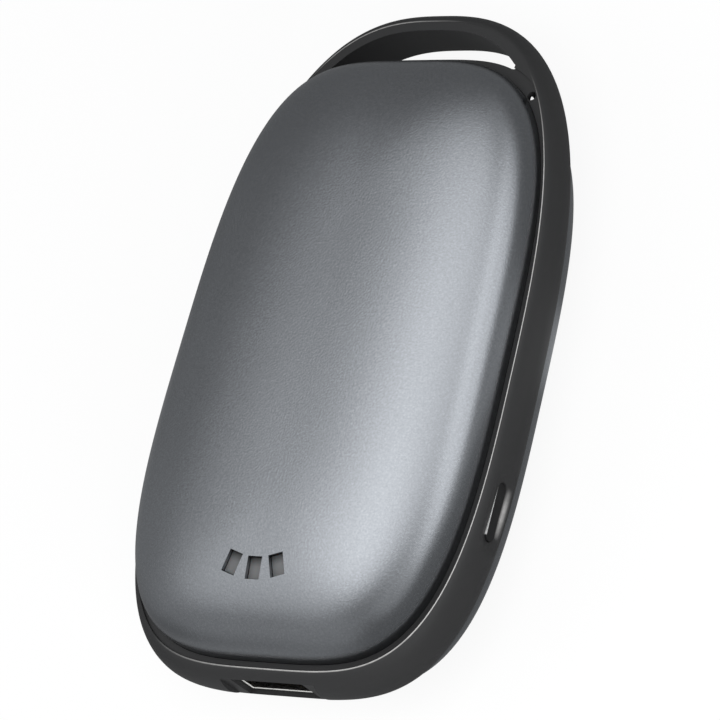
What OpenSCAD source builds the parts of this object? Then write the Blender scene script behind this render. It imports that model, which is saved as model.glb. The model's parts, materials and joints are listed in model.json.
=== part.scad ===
// Rechargeable hand warmer: two aluminium domes on a plastic band with a carry loop.
// The body lies on its back dome. X is its width, +Y points at the loop, +Z at the front dome.
// Every module works from the middle plane of the band, which standing() lifts into place.

/* [Outline] */
// Half width of the band at its front and back edges
rim_half_w = 32.4; // [31:0.1:36]
// Length from the middle of the body to the lower end of the band's edges
rim_half_len = 54.7; // [53:0.1:60]
// Length from the middle of the body to the top of the loop's front edge
loop_reach = 62.3; // [61.5:0.1:68]
// Half the depth of the band between its front and back edges
band_half_depth = 4.8; // [4.7:0.05:5.2]
// How far the band bulges out past its edges at its two ends
end_bulge = 2.6; // [2.2:0.1:3.2]
// How far the band bulges out past its edges at its sides
side_bulge = 1.4; // [1.2:0.1:2.6]
// How far the band's sides draw in from the middle plane to the back edge
back_draw = 0.7; // [0:0.05:0.8]
// Width of the flat lip between the band's edge and a shell
lip_w = 1.3; // [1.1:0.05:1.5]
// How far the front lip lies below the band's edge
lip_drop = 0.5; // [0.2:0.05:0.6]
// Width of the bead that stays standing along the band's front edge
rim_bead_w = 0.15; // [0.1:0.05:0.4]
// Share of the width that the body loses from its middle to its top
taper_share = 0.045; // [0:0.005:0.06]

/* [Shells] */
// Height of each dome above the band's edge
dome_rise = 10.7; // [10.4:0.1:13]
// Distance over which a dome curves inward
dome_inset = 30; // [26:0.5:31]
// Wall of the aluminium shells
shell_wall = 1.0; // [0.8:0.05:1.2]
// Depth to which a shell's edge sinks into the band
shell_seat = 0.8; // [0.6:0.05:1]
// Thickness of the glue bead under a shell's edge
bond_t = 0.15; // [0.1:0.01:0.2]

/* [Indicator windows] */
// Distance from the middle of the body to the row of windows
window_y = 41.1; // [40:0.1:42]
// Width of one window
window_w = 2.7; // [2:0.1:2.8]
// Length of one window
window_len = 3.8; // [3:0.1:4.5]
// Distance between neighbouring windows
window_pitch = 4.3; // [4:0.1:4.8]
// Angle by which the outer windows fan out
window_fan = 17; // [0:1:20]
// How far the outer windows lie above the middle one
window_lift = 0.7; // [0:0.1:1]
// Depth of the panes below the shell's surface
pane_depth = 0.85; // [0.3:0.05:0.9]

/* [Loop] */
// Width of the loop's front face
loop_face_w = 1.7; // [1.5:0.1:2]
// How much wider the loop's opening is at the back than at the front
opening_flare = 1; // [0:0.05:1]
// Width of the lip between the front shell and the loop's opening
web_w = 1.8; // [1.5:0.1:2]
// Depth from the loop's front face to the back of that lip and of the lanyard hole's corner
web_t = 1.6; // [1.2:0.1:2]
// Half the length of the opening, up to the centres of its round ends
opening_half_w = 17.9; // [16:0.1:18.5]
// Radius of the lanyard hole
lanyard_r = 0.8; // [0.6:0.05:0.9]
// Distance from the middle of the body to the lanyard hole
lanyard_y = 48.2; // [47.5:0.1:49]

/* [Power button] */
// Distance from the middle of the body down to the button
button_y = 24.1; // [23:0.1:26]
// Length of the button
button_len = 10; // [8:0.1:11]
// Width of the button
button_w = 2.5; // [2.2:0.1:3.6]
// Travel of the button
button_travel = 0.3; // [0.2:0.05:0.4]
// Gap round the button in its slot
button_gap = 0.1; // [0.08:0.01:0.15]
// Depth of the dish at the button
dish_depth = 1.1; // [0.9:0.05:1.3]
// Width of the dish
dish_w = 5; // [4.4:0.1:5.6]

/* [Output socket] */
// Width of the metal shell
output_w = 13.1; // [12.6:0.1:13.3]
// Height of the metal shell
output_h = 5.7; // [5.5:0.05:5.8]
// Depth of the metal shell
output_len = 14; // [13:0.1:14.5]
// Sheet of the metal shell
output_sheet = 0.3; // [0.25:0.01:0.35]
// How far the metal shell sits inside the band's outer face
output_recess = 1.7; // [1.4:0.1:2]
// Width of the flat on the band round the socket
output_flat_w = 18.2; // [16:0.1:20]

/* [Charge inlet] */
// Width of the inlet's metal shell
inlet_w = 8.94; // [8.8:0.01:9.1]
// Height of the inlet's metal shell
inlet_h = 3.26; // [3.1:0.01:3.3]
// Depth of the inlet's metal shell
inlet_len = 7.35; // [7:0.05:7.6]
// Distance from the middle of the body down to the inlet
inlet_y = 34; // [33:0.5:35]

/* [Battery] */
// Diameter of one wrapped cell
cell_d = 21.2; // [21:0.1:21.4]
// Length of one cell over its cap
cell_len = 70; // [68:0.5:70.5]
// Distance from the middle of the body down to the cells' flat ends
cell_low_y = 26.3; // [26:0.1:27]
// Wall of the tray that holds the cells
tray_wall = 1.2; // [1:0.1:1.5]
// Half the height of tray and clamp together
tray_half_h = 6; // [5:0.1:7]

/* [Board] */
// Thickness of the control board
board_t = 1.0; // [0.8:0.05:1]
// Distance from the middle of the body down to the board's upper edge
board_top_y = 28.8; // [28.6:0.1:29.4]
// Thickness of the heating films
film_t = 0.3; // [0.2:0.05:0.4]

/* [Hidden] */

// Overrun of every cut past the face that it opens
over = 1;
// Small gap between parts that are fitted without force
fit_gap = 0.05;
// Points round an outline, rings up a dome's outside and rings up its inside
outline_count = 80;
dome_count = 12;
lining_count = 8;
// Facets of round parts
round_fn = 48;
small_fn = 24;

// Bends of the outlines: 2 is an ellipse, more is squarer
side_bend = 3.8;
end_bend = 3.2;
loop_bend = 2.7;
dome_bend = 2.9;
band_bend = 1.8;
// Shares of the rise at which each dome goes over into its flat crown
front_crown_share = 0.998;
back_crown_share = 0.985;
// Shares of the band's half depth at which its outline is drawn
band_shares = [0, 0.3, 0.55, 0.76, 0.92, 1];

// Cells side by side in the channels of their tray
cell_r = cell_d / 2;
cell_gap = 0.15;
sleeve_t = 0.1;
channel_r = cell_r + cell_gap;
cell_x = cell_r + sleeve_t;
tray_half_w = cell_x + channel_r + tray_wall;

// The body has its stated sizes as long as the cells fit, and grows with larger cells. All that
// is placed from its ends moves along.
ledge_w = 2.2;
side_room = 6.2;
crown_room = 1.7;
corner_room = 0.3;
body_half_w = max(rim_half_w, tray_half_w + side_room + ledge_w + lip_w);
body_rise = max(dome_rise,
    (cell_r + crown_room - band_half_depth) / back_crown_share + shell_wall);
corner_share = pow(1 - pow((cell_x + cell_r)
    / ((body_half_w - lip_w - ledge_w) * (1 - taper_share)), side_bend), 1 / end_bend);
growth = max(0, cell_len - cell_low_y + corner_room
    - (rim_half_len - lip_w - ledge_w) * corner_share) / (1 + corner_share);
body_half_len = rim_half_len + growth;
loop_top_y = loop_reach + growth;
hole_y = lanyard_y + growth;
windows_y = window_y + growth;
press_y = button_y + growth;
mouth_y = inlet_y + growth;
cells_y = cell_low_y + growth;
board_y = board_top_y + growth;

// Shells and ledges
shell_half_w = body_half_w - lip_w;
shell_half_len = body_half_len - lip_w;
cavity_half_w = shell_half_w - ledge_w;
cavity_half_len = shell_half_len - ledge_w;
shell_foot_z = band_half_depth - shell_seat;
ledge_z = shell_foot_z - bond_t;
lining_half_w = shell_half_w - shell_wall;
lining_half_len = shell_half_len - shell_wall;
lining_rise = body_rise - shell_wall;
lining_inset = dome_inset - shell_wall;
mid_z = band_half_depth + body_rise * back_crown_share;

// Room behind the web at the top, open to the back
channel_below = 2.7;
channel_low_y = hole_y - channel_below;
channel_step = 0.4;
lip_over_web = 0.3;
hole_room_gap = 0.4;
hole_room_h = 3;

// Power button: cap, flange behind the wall, post to the switch
button_face_drop = 1.0;
button_wall = 2.2;
flange_t = 0.8;
flange_rim = 0.9;
button_post_r = 1;
button_x = outline_x(-press_y, body_half_w + side_bulge, body_half_len + end_bulge);
button_face_x = button_x - button_face_drop;
button_wall_x = button_x - dish_depth - button_wall;
button_rest_gap = 0.05;
button_room = 0.4;
button_pocket_half = button_len / 2 + flange_rim + button_room;
button_pocket_half_h = max(button_w / 2 + flange_rim + button_room, output_h / 2 + fit_gap);
dish_ball_r = (pow(dish_w / 2, 2) + pow(dish_depth, 2)) / (2 * dish_depth);

// Power switch on the control board's right tab
switch_depth = 3.6;
switch_len = 6;
switch_h = output_h;
switch_in = 6.4;
switch_x = button_wall_x - switch_in;
plunger_r = 0.9;
plunger_gap = 0.06;
plunger_tuck = 1.4;
plunger_reach = 1.2;

// Control board: its top face carries the output socket
board_top_z = -output_h / 2;
board_low_z = board_top_z - board_t;
board_edge_gap = 0.6;
switch_tab_low = 8;
switch_tab_high = 3.8;
board_tab_root = 4;
switch_tab_low_y = -max(press_y + switch_tab_low, board_y + board_tab_root);
board_boss_up = 11.2;
board_boss_y = body_half_len - board_boss_up;
board_boss_in = 2.6;
board_boss_r = 2.1;
board_boss_low_z = -7;
board_rib_w = 1.6;

// Screws
screw_r = 0.78;
pilot_r = 0.82;
clear_r = 1;
screw_head_r = 1.5;
screw_head_h = 0.9;
battery_screw_len = 5.6;
board_screw_len = 3.6;
socket_r = 0.55;
socket_depth = 0.5;

// Output socket
output_face_y = -(body_half_len + end_bulge - output_recess);
output_gap = 0.45;
output_flat_depth = 0.9;
output_flat_top_z = 4.2;
output_tongue_t = 1.84;
output_tongue_side = 1;
output_tongue_w = output_w - 2 * output_tongue_side;
output_tongue_len = 8.6;
output_block_len = 4.2;
output_contact_count = 4;
output_contact_w = 1;
output_contact_pitch = 2.3;
output_contact_t = 0.15;

// Charge inlet on the hidden left side
inlet_face_in = 1;
inlet_x = outline_x(-mouth_y, body_half_w + side_bulge, body_half_len + end_bulge) - inlet_face_in;
inlet_z = board_top_z + inlet_h / 2;
inlet_sheet = 0.25;
inlet_gap = 0.25;
inlet_tongue_t = 0.7;
inlet_tongue_w = 6.7;
inlet_block_len = 2;
inlet_mouth_in = 1.2;
inlet_pocket_gap = 0.4;
inlet_shelf_in = 4.6;
inlet_shelf_x = inlet_x - inlet_shelf_in;

// Cells, strips and tray
cap_r = 4.5;
cap_h = 0.8;
can_len = cell_len - cap_h;
crimp_in = 1.2;
crimp_r = cell_r - crimp_in;
crimp_h = 0.6;
strip_t = 0.2;
strip_w = 8;
strip_half_len = 15;
tray_split = 0.2;
tray_low_y = -cells_y - strip_t - cell_gap - tray_wall;
tray_high_y = -cells_y + cell_len + strip_t + cell_gap + tray_wall;
tray_side_gap = 0.4;
ear_r = 1.8;
ear_t = 1.7;
ear_in = 2.2;
ear_low_y = -14;
ear_high_y = 24;
lead_notch_gap = 0.05;
battery_boss_r = 2.3;

// Films, pads and sensor
film_gap = 0.04;
film_ring_count = 4;
film_notch_gap = 0.5;
film_seat = 0.15;
pad_half_w = 15;
pad_low_reach = 24;
pad_high_reach = 33;
pad_low_y = -pad_low_reach - growth;
pad_high_y = pad_high_reach + growth;
pad_top_share = 0.8333;
pad_top_z = band_half_depth + (lining_rise - film_gap - film_t) * pad_top_share;
pad_gap = 0.1;
sensor_r = 0.8;
sensor_len = 3.2;

// Indicator group, tilted to lie along the dome
window_inset = shell_half_len - windows_y;
window_z = dome_z(window_inset, dome_inset, body_rise);
window_tilt = atan((dome_z(window_inset + window_len, dome_inset, body_rise)
    - dome_z(window_inset - window_len, dome_inset, body_rise)) / (2 * window_len));
guide_gap = 0.06;
guide_plate_t = 0.8;
guide_plate_drop = 1.5;
guide_margin = 1.6;
guide_leg_w = 1.2;
guide_leg_h = 2;
led_w = 1.6;
led_len = 2;
led_h = 0.8;
led_board_t = 0.8;

// Room along the board between its upper edge and the indicator group, and what stands in it
indicator_room = windows_y - guide_half_len() - board_y;
sensor_share = 0.364;
sensor_y = board_y + indicator_room * sensor_share;
heater_lead_share = 0.648;
heater_lead_y = board_y + indicator_room * heater_lead_share;

// Parts on the control board
chip_sizes = [[5, 5, 0.9], [4, 4, 0.8], [5, 4, 1.5]];
chip_places = [[14.5, -34], [-13.5, -34.5], [10.5, -41]];
inductor_r = 3.2;
inductor_h = 3;
inductor_place = [-13.5, -41.5];
capacitor_size = [1.6, 3.2, 1.2];
capacitor_places = [[-8.8, -34.5], [9.2, -34.5], [-8.9, -40], [-17.6, -38.5]];

// Insulated leads, seated just clear of what they are soldered to
lead_r = 0.55;
lead_seat = 0.05;
lead_gap = 0.3;
knuckle_share = 1.04;
lead_pair_x = lead_r + lead_gap / 2;
battery_lead_z = min(-strip_w / 2, board_low_z) - lead_seat - lead_r;
battery_lead_low_z = -tray_half_h - lead_gap - lead_r;
battery_lead_top_y = -cells_y + cell_len - strip_t - lead_r;
battery_lead_turn_y = tray_low_y - lead_gap - lead_r;
battery_lead_end_y = -board_y - 4 * lead_r;
indicator_lead_pitch = 3;
sensor_x = 4;

// Signed power, used by the outlines
function signed_pow(value, power) = sign(value) * pow(abs(value), power);

// Spreads an outline's points evenly: they crowd the corners less and the flats more
function eased(angle) =
    let (turn = 90 * floor(angle / 90))
    turn + 45 * (1 - cos(2 * (angle - turn)));

// The body narrows a little toward the loop
function tapered(p) = [p[0] * (1 - taper_share * p[1] / body_half_len), p[1]];

function bent_point(angle, half_w, half_len, bend_w, bend_len) =
    tapered([half_w * signed_pow(cos(angle), 2 / bend_w),
        half_len * signed_pow(sin(angle), 2 / bend_len)]);

function body_outline(half_w, half_len) =
    [for (i = [0:outline_count - 1])
        bent_point(eased(360 * i / outline_count), half_w, half_len, side_bend, end_bend)];

// The band follows the body below the middle and rises into the loop above it
function band_outline(extra_w, extra_len) =
    [for (i = [0:outline_count - 1])
        let (angle = eased(360 * i / outline_count))
        angle < 180
            ? bent_point(angle, body_half_w + extra_w, loop_top_y + extra_len, loop_bend, loop_bend)
            : bent_point(angle, body_half_w + extra_w, body_half_len + extra_len,
                side_bend, end_bend)];

// Half width of a body outline at a given place along Y
function outline_x(y, half_w, half_len) =
    tapered([half_w * pow(1 - pow(abs(y) / half_len, end_bend), 1 / side_bend), y])[0];

// Half width of the band's edge at a given place in the loop
function loop_x(y) =
    tapered([body_half_w * pow(1 - pow(y / loop_top_y, loop_bend), 1 / loop_bend), y])[0];

// Height of the loop's edge and of a body outline at a given place along X
function loop_y(x, extra) =
    (loop_top_y + extra) * pow(1 - pow(untapered(x) / (body_half_w + extra), loop_bend),
        1 / loop_bend);
function body_top_y(x, extra) =
    (shell_half_len + extra) * pow(1 - pow(untapered(x) / (shell_half_w + extra), side_bend),
        1 / end_bend);
function untapered(x) = x / (1 - taper_share);

// Height of a dome above the middle plane where its outline has drawn in by inset
function dome_z(inset, full_inset, rise) =
    band_half_depth + rise * pow(1 - pow(1 - inset / full_inset, dome_bend), 1 / dome_bend);

// Angle of a dome's profile at which a share of its rise is reached
function dome_angle(share) = asin(pow(share, dome_bend / 2));

// One ring of a dome: the outline draws in by drawn as the profile climbs
function ring_at(outline, z) = [for (p = outline) [p[0], p[1], z]];
function dome_ring(angle, half_w, half_len, rise, inset, side) =
    let (drawn = inset * (1 - pow(cos(angle), 2 / dome_bend)))
    ring_at(body_outline(half_w - drawn, half_len - drawn),
        side * (band_half_depth + rise * pow(sin(angle), 2 / dome_bend)));

// Solid skinned over rings of equal count, first ring to last ring, ends closed
module skin(rings) {
    n = len(rings[0]);
    last = len(rings) - 1;
    points = [for (ring = rings) each ring];
    sides = [for (k = [0:last - 1], i = [0:n - 1])
        let (a = k * n + i, b = k * n + (i + 1) % n)
        each [[a, a + n, b], [b, a + n, b + n]]];
    polyhedron(points, concat(sides, [[for (i = [0:n - 1]) i]],
        [[for (i = [n - 1:-1:0]) last * n + i]]));
}

// Prism of an outline between two heights
module slab(outline, low_z, high_z) {
    translate([0, 0, low_z])
        linear_extrude(height = high_z - low_z) polygon(outline);
}

// Box between two corners
module block(low, high) {
    translate(low) cube(high - low);
}

// Cylinder along X from one end to the other
module rod_x(r, low_x, high_x, fn = small_fn) {
    translate([low_x, 0, 0]) rotate([0, 90, 0]) cylinder(r = r, h = high_x - low_x, $fn = fn);
}

// Slot-shaped bar along X, round at both ends of its length along Y
module pill_x(length, width, low_x, high_x) {
    reach = (length - width) / 2;
    block([low_x, -reach, -width / 2], [high_x, reach, width / 2]);
    for (side = [-1, 1])
        translate([0, side * reach, 0]) rod_x(width / 2, low_x, high_x, round_fn);
}

// The same bar along X, for the charge inlet, with its own corner radius
module inlet_bar(shrink, low_x, high_x) {
    pill_x(inlet_w - 2 * shrink, inlet_h - 2 * shrink, low_x, high_x);
}

// Round lead through a list of points
module lead(points, r = lead_r) {
    for (i = [0:len(points) - 2]) {
        step = points[i + 1] - points[i];
        translate(points[i])
            rotate([0, acos(step[2] / norm(step)), atan2(step[1], step[0])])
            cylinder(r = r, h = norm(step), $fn = small_fn);
    }
    for (i = [1:len(points) - 2])
        translate(points[i]) sphere(r = r * knuckle_share, $fn = small_fn);
}

module screw(length) {
    difference() {
        cylinder(r = screw_head_r, h = screw_head_h, $fn = small_fn);
        translate([0, 0, screw_head_h - socket_depth])
            cylinder(r = socket_r, h = socket_depth + over, $fn = small_fn);
    }
    translate([0, 0, -length]) cylinder(r = screw_r, h = length + fit_gap, $fn = small_fn);
}

// Lowest place of the whole outline: the corners of the flat round the output socket
function outline_low_y() = min(-(body_half_len + end_bulge - output_flat_depth),
    -(body_half_len + end_bulge) * pow(1 - pow(output_flat_w / 2 / (1 + taper_share)
        / (body_half_w + side_bulge), side_bend), 1 / end_bend));

// Centres the part along its length and lifts the back dome's flat crown to zero
module standing() {
    translate([0, -(loop_top_y + end_bulge + outline_low_y()) / 2, mid_z]) children();
}

// Places of the battery ears: just inside the cavity's wall, two a side
function ear_places() = [for (side = [-1, 1], y = [ear_low_y, ear_high_y])
    [side * (outline_x(y, cavity_half_w, cavity_half_len) - ear_in), y]];
function board_boss_places() = [for (side = [-1, 1])
    [side * (outline_x(-board_boss_y, cavity_half_w, cavity_half_len) - board_boss_in),
        -board_boss_y]];

module at_button() {
    translate([0, -press_y, 0]) children();
}

module at_windows() {
    translate([0, -windows_y, window_z]) rotate([window_tilt, 0, 0]) children();
}

// The three window bars, drawn in by gap all round
module window_bars(gap, low_z, high_z) {
    for (k = [-1:1])
        translate([k * window_pitch, abs(k) * window_lift, 0])
            rotate([0, 0, k * window_fan])
            block([gap - window_w / 2, gap - window_len / 2, low_z],
                [window_w / 2 - gap, window_len / 2 - gap, high_z]);
}

// Band of the frame, still solid
module band() {
    heights = concat([for (i = [len(band_shares) - 1:-1:1]) -band_shares[i]], band_shares);
    skin([for (share = heights)
        let (bulge_share = pow(1 - pow(abs(share), band_bend), 1 / band_bend),
            drawn = share < 0 ? back_draw * share * share : 0)
        ring_at(band_outline(side_bulge * bulge_share - drawn, end_bulge * bulge_share),
            share * band_half_depth)]);
}

// The loop's opening at a given height: how far its outer side lies inside the band's edge,
// the slope and the middle of its ends, the round of an end and the outline that it starts from
function opening_in(z) =
    loop_face_w - opening_flare * (band_half_depth - z) / (2 * band_half_depth);
function opening_mid_y(x, z) = (body_top_y(x, web_w) + loop_y(x, -opening_in(z))) / 2;
function opening_lean(z) =
    (opening_mid_y(opening_half_w + web_w / 2, z) - opening_mid_y(opening_half_w - web_w / 2, z))
        / web_w;
function opening_end(side, z) =
    let (mid_y = opening_mid_y(opening_half_w, z),
        r = (mid_y - body_top_y(opening_half_w, web_w)) / sqrt(1 + pow(opening_lean(z), 2)))
    [for (i = [0:round_fn - 1])
        let (angle = 360 * i / round_fn)
        [side * opening_half_w + r * cos(angle), mid_y + r * sin(angle)]];
function opening_reach(z) =
    let (mid_y = opening_mid_y(opening_half_w, z), low_y = mid_y - web_w)
    [for (corner = [[-1, low_y], [1, low_y], [1, loop_top_y], [-1, loop_top_y]])
        [corner[0] * (opening_half_w - opening_lean(z) * (corner[1] - mid_y)), corner[1]]];

// Opening of the loop, its round ends and the room behind the web
module loop_cuts() {
    low_z = -band_half_depth - over;
    high_z = band_half_depth + over;
    intersection() {
        difference() {
            skin([for (z = [low_z, high_z])
                ring_at(band_outline(-opening_in(z), -opening_in(z)), z)]);
            slab(body_outline(shell_half_w + web_w, shell_half_len + web_w),
                low_z - over, high_z + over);
        }
        skin([for (z = [low_z - over, high_z + over]) ring_at(opening_reach(z), z)]);
    }
    for (side = [-1, 1])
        skin([for (z = [low_z, high_z]) ring_at(opening_end(side, z), z)]);
    intersection() {
        difference() {
            slab(band_outline(-loop_face_w, -loop_face_w), low_z, band_half_depth - web_t);
            slab(body_outline(shell_half_w - channel_step, shell_half_len - channel_step),
                low_z - over, high_z);
        }
        block([-body_half_w, channel_low_y, low_z - over], [body_half_w, loop_top_y, high_z]);
    }
    translate([(outline_x(hole_y, shell_half_w, shell_half_len) + loop_x(hole_y)) / 2,
        hole_y, band_half_depth - web_t]) {
        translate([0, 0, -over]) cylinder(r = lanyard_r, h = web_t + 2 * over, $fn = round_fn);
        translate([0, 0, -hole_room_h])
            cylinder(r = lanyard_r + hole_room_gap, h = hole_room_h, $fn = round_fn);
    }
}

// Dish, slot and inner room of the power button
module button_cuts() {
    at_button() {
        hull() for (side = [-1, 1])
            translate([button_x - dish_depth + dish_ball_r, side * (button_len - button_w) / 2, 0])
                sphere(r = dish_ball_r, $fn = round_fn);
        pill_x(button_len + 2 * button_gap, button_w + 2 * button_gap,
            button_wall_x - over, button_x + over);
        block([0, -button_pocket_half, -button_pocket_half_h],
            [button_wall_x, button_pocket_half, button_pocket_half_h]);
        block([0, switch_tab_low_y + press_y - fit_gap, board_low_z - fit_gap],
            [switch_x + switch_depth + fit_gap + button_room, switch_tab_high + fit_gap, 0]);
    }
}

// Aperture and flat of the output socket
module output_cuts() {
    low_y = -(body_half_len + end_bulge);
    block([-output_w / 2 - output_gap, low_y - over, -output_h / 2 - output_gap],
        [output_w / 2 + output_gap, 0, output_h / 2 + output_gap]);
    block([-output_flat_w / 2, low_y - over, -band_half_depth - over],
        [output_flat_w / 2, low_y + output_flat_depth, output_flat_top_z]);
}

// Aperture of the charge inlet, its mouth for the plug and its room in the wall
module inlet_cuts() {
    translate([0, -mouth_y, inlet_z]) mirror([1, 0, 0]) {
        inlet_bar(-inlet_gap, 0, inlet_x + inlet_face_in + over);
        inlet_bar(-inlet_mouth_in, inlet_x - fit_gap, inlet_x + inlet_face_in + over);
        block([0, -inlet_w / 2 - inlet_pocket_gap, board_low_z - fit_gap - inlet_z],
            [inlet_shelf_x, inlet_w / 2 + inlet_pocket_gap, inlet_h / 2 + inlet_pocket_gap]);
    }
}

// Recess of the front lip between the bead along the band's edge and the front shell
module lip_recess() {
    reach = web_w + lip_over_web;
    intersection() {
        slab(band_outline(-rim_bead_w, -rim_bead_w), band_half_depth - lip_drop,
            band_half_depth + over);
        slab(body_outline(shell_half_w + reach, shell_half_len + reach), 0,
            band_half_depth + 2 * over);
    }
}

// Groove in the band's front face that takes a shell's edge
module shell_groove() {
    difference() {
        slab(body_outline(shell_half_w + fit_gap, shell_half_len + fit_gap),
            ledge_z, band_half_depth + over);
        slab(body_outline(lining_half_w - fit_gap, lining_half_len - fit_gap),
            ledge_z - over, band_half_depth + 2 * over);
    }
}

module middle_frame() {
    color([0.13, 0.13, 0.135]) standing() difference() {
        union() {
            difference() {
                band();
                slab(body_outline(cavity_half_w, cavity_half_len),
                    -band_half_depth - over, band_half_depth + over);
            }
            for (p = ear_places())
                translate([p[0], p[1], -band_half_depth])
                    cylinder(r = battery_boss_r, h = band_half_depth - ear_t, $fn = round_fn);
            for (p = board_boss_places())
                translate([p[0], p[1], board_boss_low_z])
                    cylinder(r = board_boss_r, h = board_low_z - board_boss_low_z, $fn = round_fn);
            for (p = board_boss_places())
                block([min(p[0], p[0] + sign(p[0]) * (board_boss_in + fit_gap)),
                    p[1] - board_rib_w / 2, -band_half_depth],
                    [max(p[0], p[0] + sign(p[0]) * (board_boss_in + fit_gap)),
                    p[1] + board_rib_w / 2, board_low_z]);
        }
        lip_recess();
        shell_groove();
        mirror([0, 0, 1]) shell_groove();
        loop_cuts();
        button_cuts();
        output_cuts();
        inlet_cuts();
        for (p = concat(ear_places(), board_boss_places()))
            translate([p[0], p[1], board_boss_low_z - over])
                cylinder(r = pilot_r, h = -board_boss_low_z + over, $fn = small_fn);
    }
}

// Hollow dome; side is 1 for the front and -1 for the back
module shell(side, crown_share) {
    crown_angle = dome_angle(crown_share);
    outer = [for (k = [0:dome_count]) dome_ring(crown_angle * k / dome_count, shell_half_w,
        shell_half_len, body_rise, dome_inset, side)];
    inner = [for (k = [0:lining_count]) dome_ring(crown_angle * k / lining_count, lining_half_w,
        lining_half_len, lining_rise, lining_inset, side)];
    outer_foot = ring_at(body_outline(shell_half_w, shell_half_len), side * shell_foot_z);
    inner_foot = ring_at(body_outline(lining_half_w, lining_half_len),
        side * (shell_foot_z - over));
    difference() {
        skin(side > 0 ? concat([outer_foot], outer)
            : concat([for (k = [dome_count:-1:0]) outer[k]], [outer_foot]));
        skin(side > 0 ? concat([inner_foot], inner)
            : concat([for (k = [lining_count:-1:0]) inner[k]], [inner_foot]));
    }
}

module front_shell() {
    color([0.42, 0.43, 0.45]) standing() difference() {
        shell(1, front_crown_share);
        at_windows() window_bars(0, -2 * shell_wall - over, shell_wall + over);
    }
}

module back_shell() {
    color([0.42, 0.43, 0.45]) standing() shell(-1, back_crown_share);
}

// Bead of glue between a ledge and a shell's edge
module bond_ring() {
    difference() {
        slab(body_outline(shell_half_w, shell_half_len), ledge_z, shell_foot_z);
        slab(body_outline(lining_half_w, lining_half_len), ledge_z - over, shell_foot_z + over);
    }
}

module front_bond_ring() {
    color([0.85, 0.84, 0.78]) standing() bond_ring();
}

module back_bond_ring() {
    color([0.85, 0.84, 0.78]) standing() difference() {
        mirror([0, 0, 1]) bond_ring();
        loop_cuts();
    }
}

module power_button() {
    color([0.09, 0.09, 0.095]) standing() at_button() {
        flange_x = button_wall_x - button_rest_gap - flange_t;
        pill_x(button_len, button_w, flange_x, button_face_x);
        pill_x(button_len + 2 * flange_rim, button_w + 2 * flange_rim,
            flange_x, flange_x + flange_t);
        rod_x(button_post_r, switch_x + switch_depth + plunger_reach + fit_gap, flange_x);
    }
}

module power_switch_body() {
    color([0.2, 0.2, 0.2]) standing() at_button() difference() {
        block([switch_x, -switch_len / 2, board_top_z],
            [switch_x + switch_depth, switch_len / 2, board_top_z + switch_h]);
        rod_x(plunger_r + plunger_gap, switch_x + switch_depth - plunger_tuck - button_travel
            - fit_gap, switch_x + switch_depth + over);
    }
}

module power_switch_plunger() {
    color([0.8, 0.78, 0.7]) standing() at_button()
        rod_x(plunger_r, switch_x + switch_depth - plunger_tuck,
            switch_x + switch_depth + plunger_reach);
}

module usb_output_shell() {
    color([0.75, 0.75, 0.76]) standing() translate([0, output_face_y, 0]) difference() {
        block([-output_w / 2, 0, -output_h / 2], [output_w / 2, output_len, output_h / 2]);
        block([-output_w / 2 + output_sheet, -over, -output_h / 2 + output_sheet],
            [output_w / 2 - output_sheet, output_len - output_sheet, output_h / 2 - output_sheet]);
    }
}

module usb_output_tongue() {
    back_y = output_len - output_sheet - fit_gap;
    inner_half_h = output_h / 2 - output_sheet - fit_gap;
    color([0.1, 0.1, 0.1]) standing() translate([0, output_face_y, 0]) {
        block([-output_w / 2 + output_sheet + fit_gap, back_y - output_block_len, -inner_half_h],
            [output_w / 2 - output_sheet - fit_gap, back_y, inner_half_h]);
        block([-output_tongue_w / 2, back_y - output_block_len - output_tongue_len, 0],
            [output_tongue_w / 2, back_y - output_block_len, output_tongue_t]);
    }
}

module usb_output_contacts() {
    back_y = output_len - output_sheet - fit_gap - output_block_len;
    color([0.85, 0.68, 0.3]) standing() translate([0, output_face_y, 0])
        for (k = [0:output_contact_count - 1])
            translate([(k - (output_contact_count - 1) / 2) * output_contact_pitch, 0, 0])
                block([-output_contact_w / 2, back_y - output_tongue_len + output_contact_w,
                    -output_contact_t],
                    [output_contact_w / 2, back_y, 0]);
}

module charge_inlet_shell() {
    color([0.75, 0.75, 0.76]) standing() translate([0, -mouth_y, inlet_z]) mirror([1, 0, 0])
        difference() {
            inlet_bar(0, inlet_x - inlet_len, inlet_x);
            inlet_bar(inlet_sheet, inlet_x - inlet_len + inlet_sheet, inlet_x + over);
        }
}

module charge_inlet_tongue() {
    back_x = inlet_x - inlet_len + inlet_sheet + fit_gap;
    color([0.1, 0.1, 0.1]) standing() translate([0, -mouth_y, inlet_z]) mirror([1, 0, 0]) {
        inlet_bar(inlet_sheet + fit_gap, back_x, back_x + inlet_block_len);
        block([back_x + inlet_block_len, -inlet_tongue_w / 2, -inlet_tongue_t / 2],
            [inlet_x - inlet_sheet, inlet_tongue_w / 2, inlet_tongue_t / 2]);
    }
}

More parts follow.
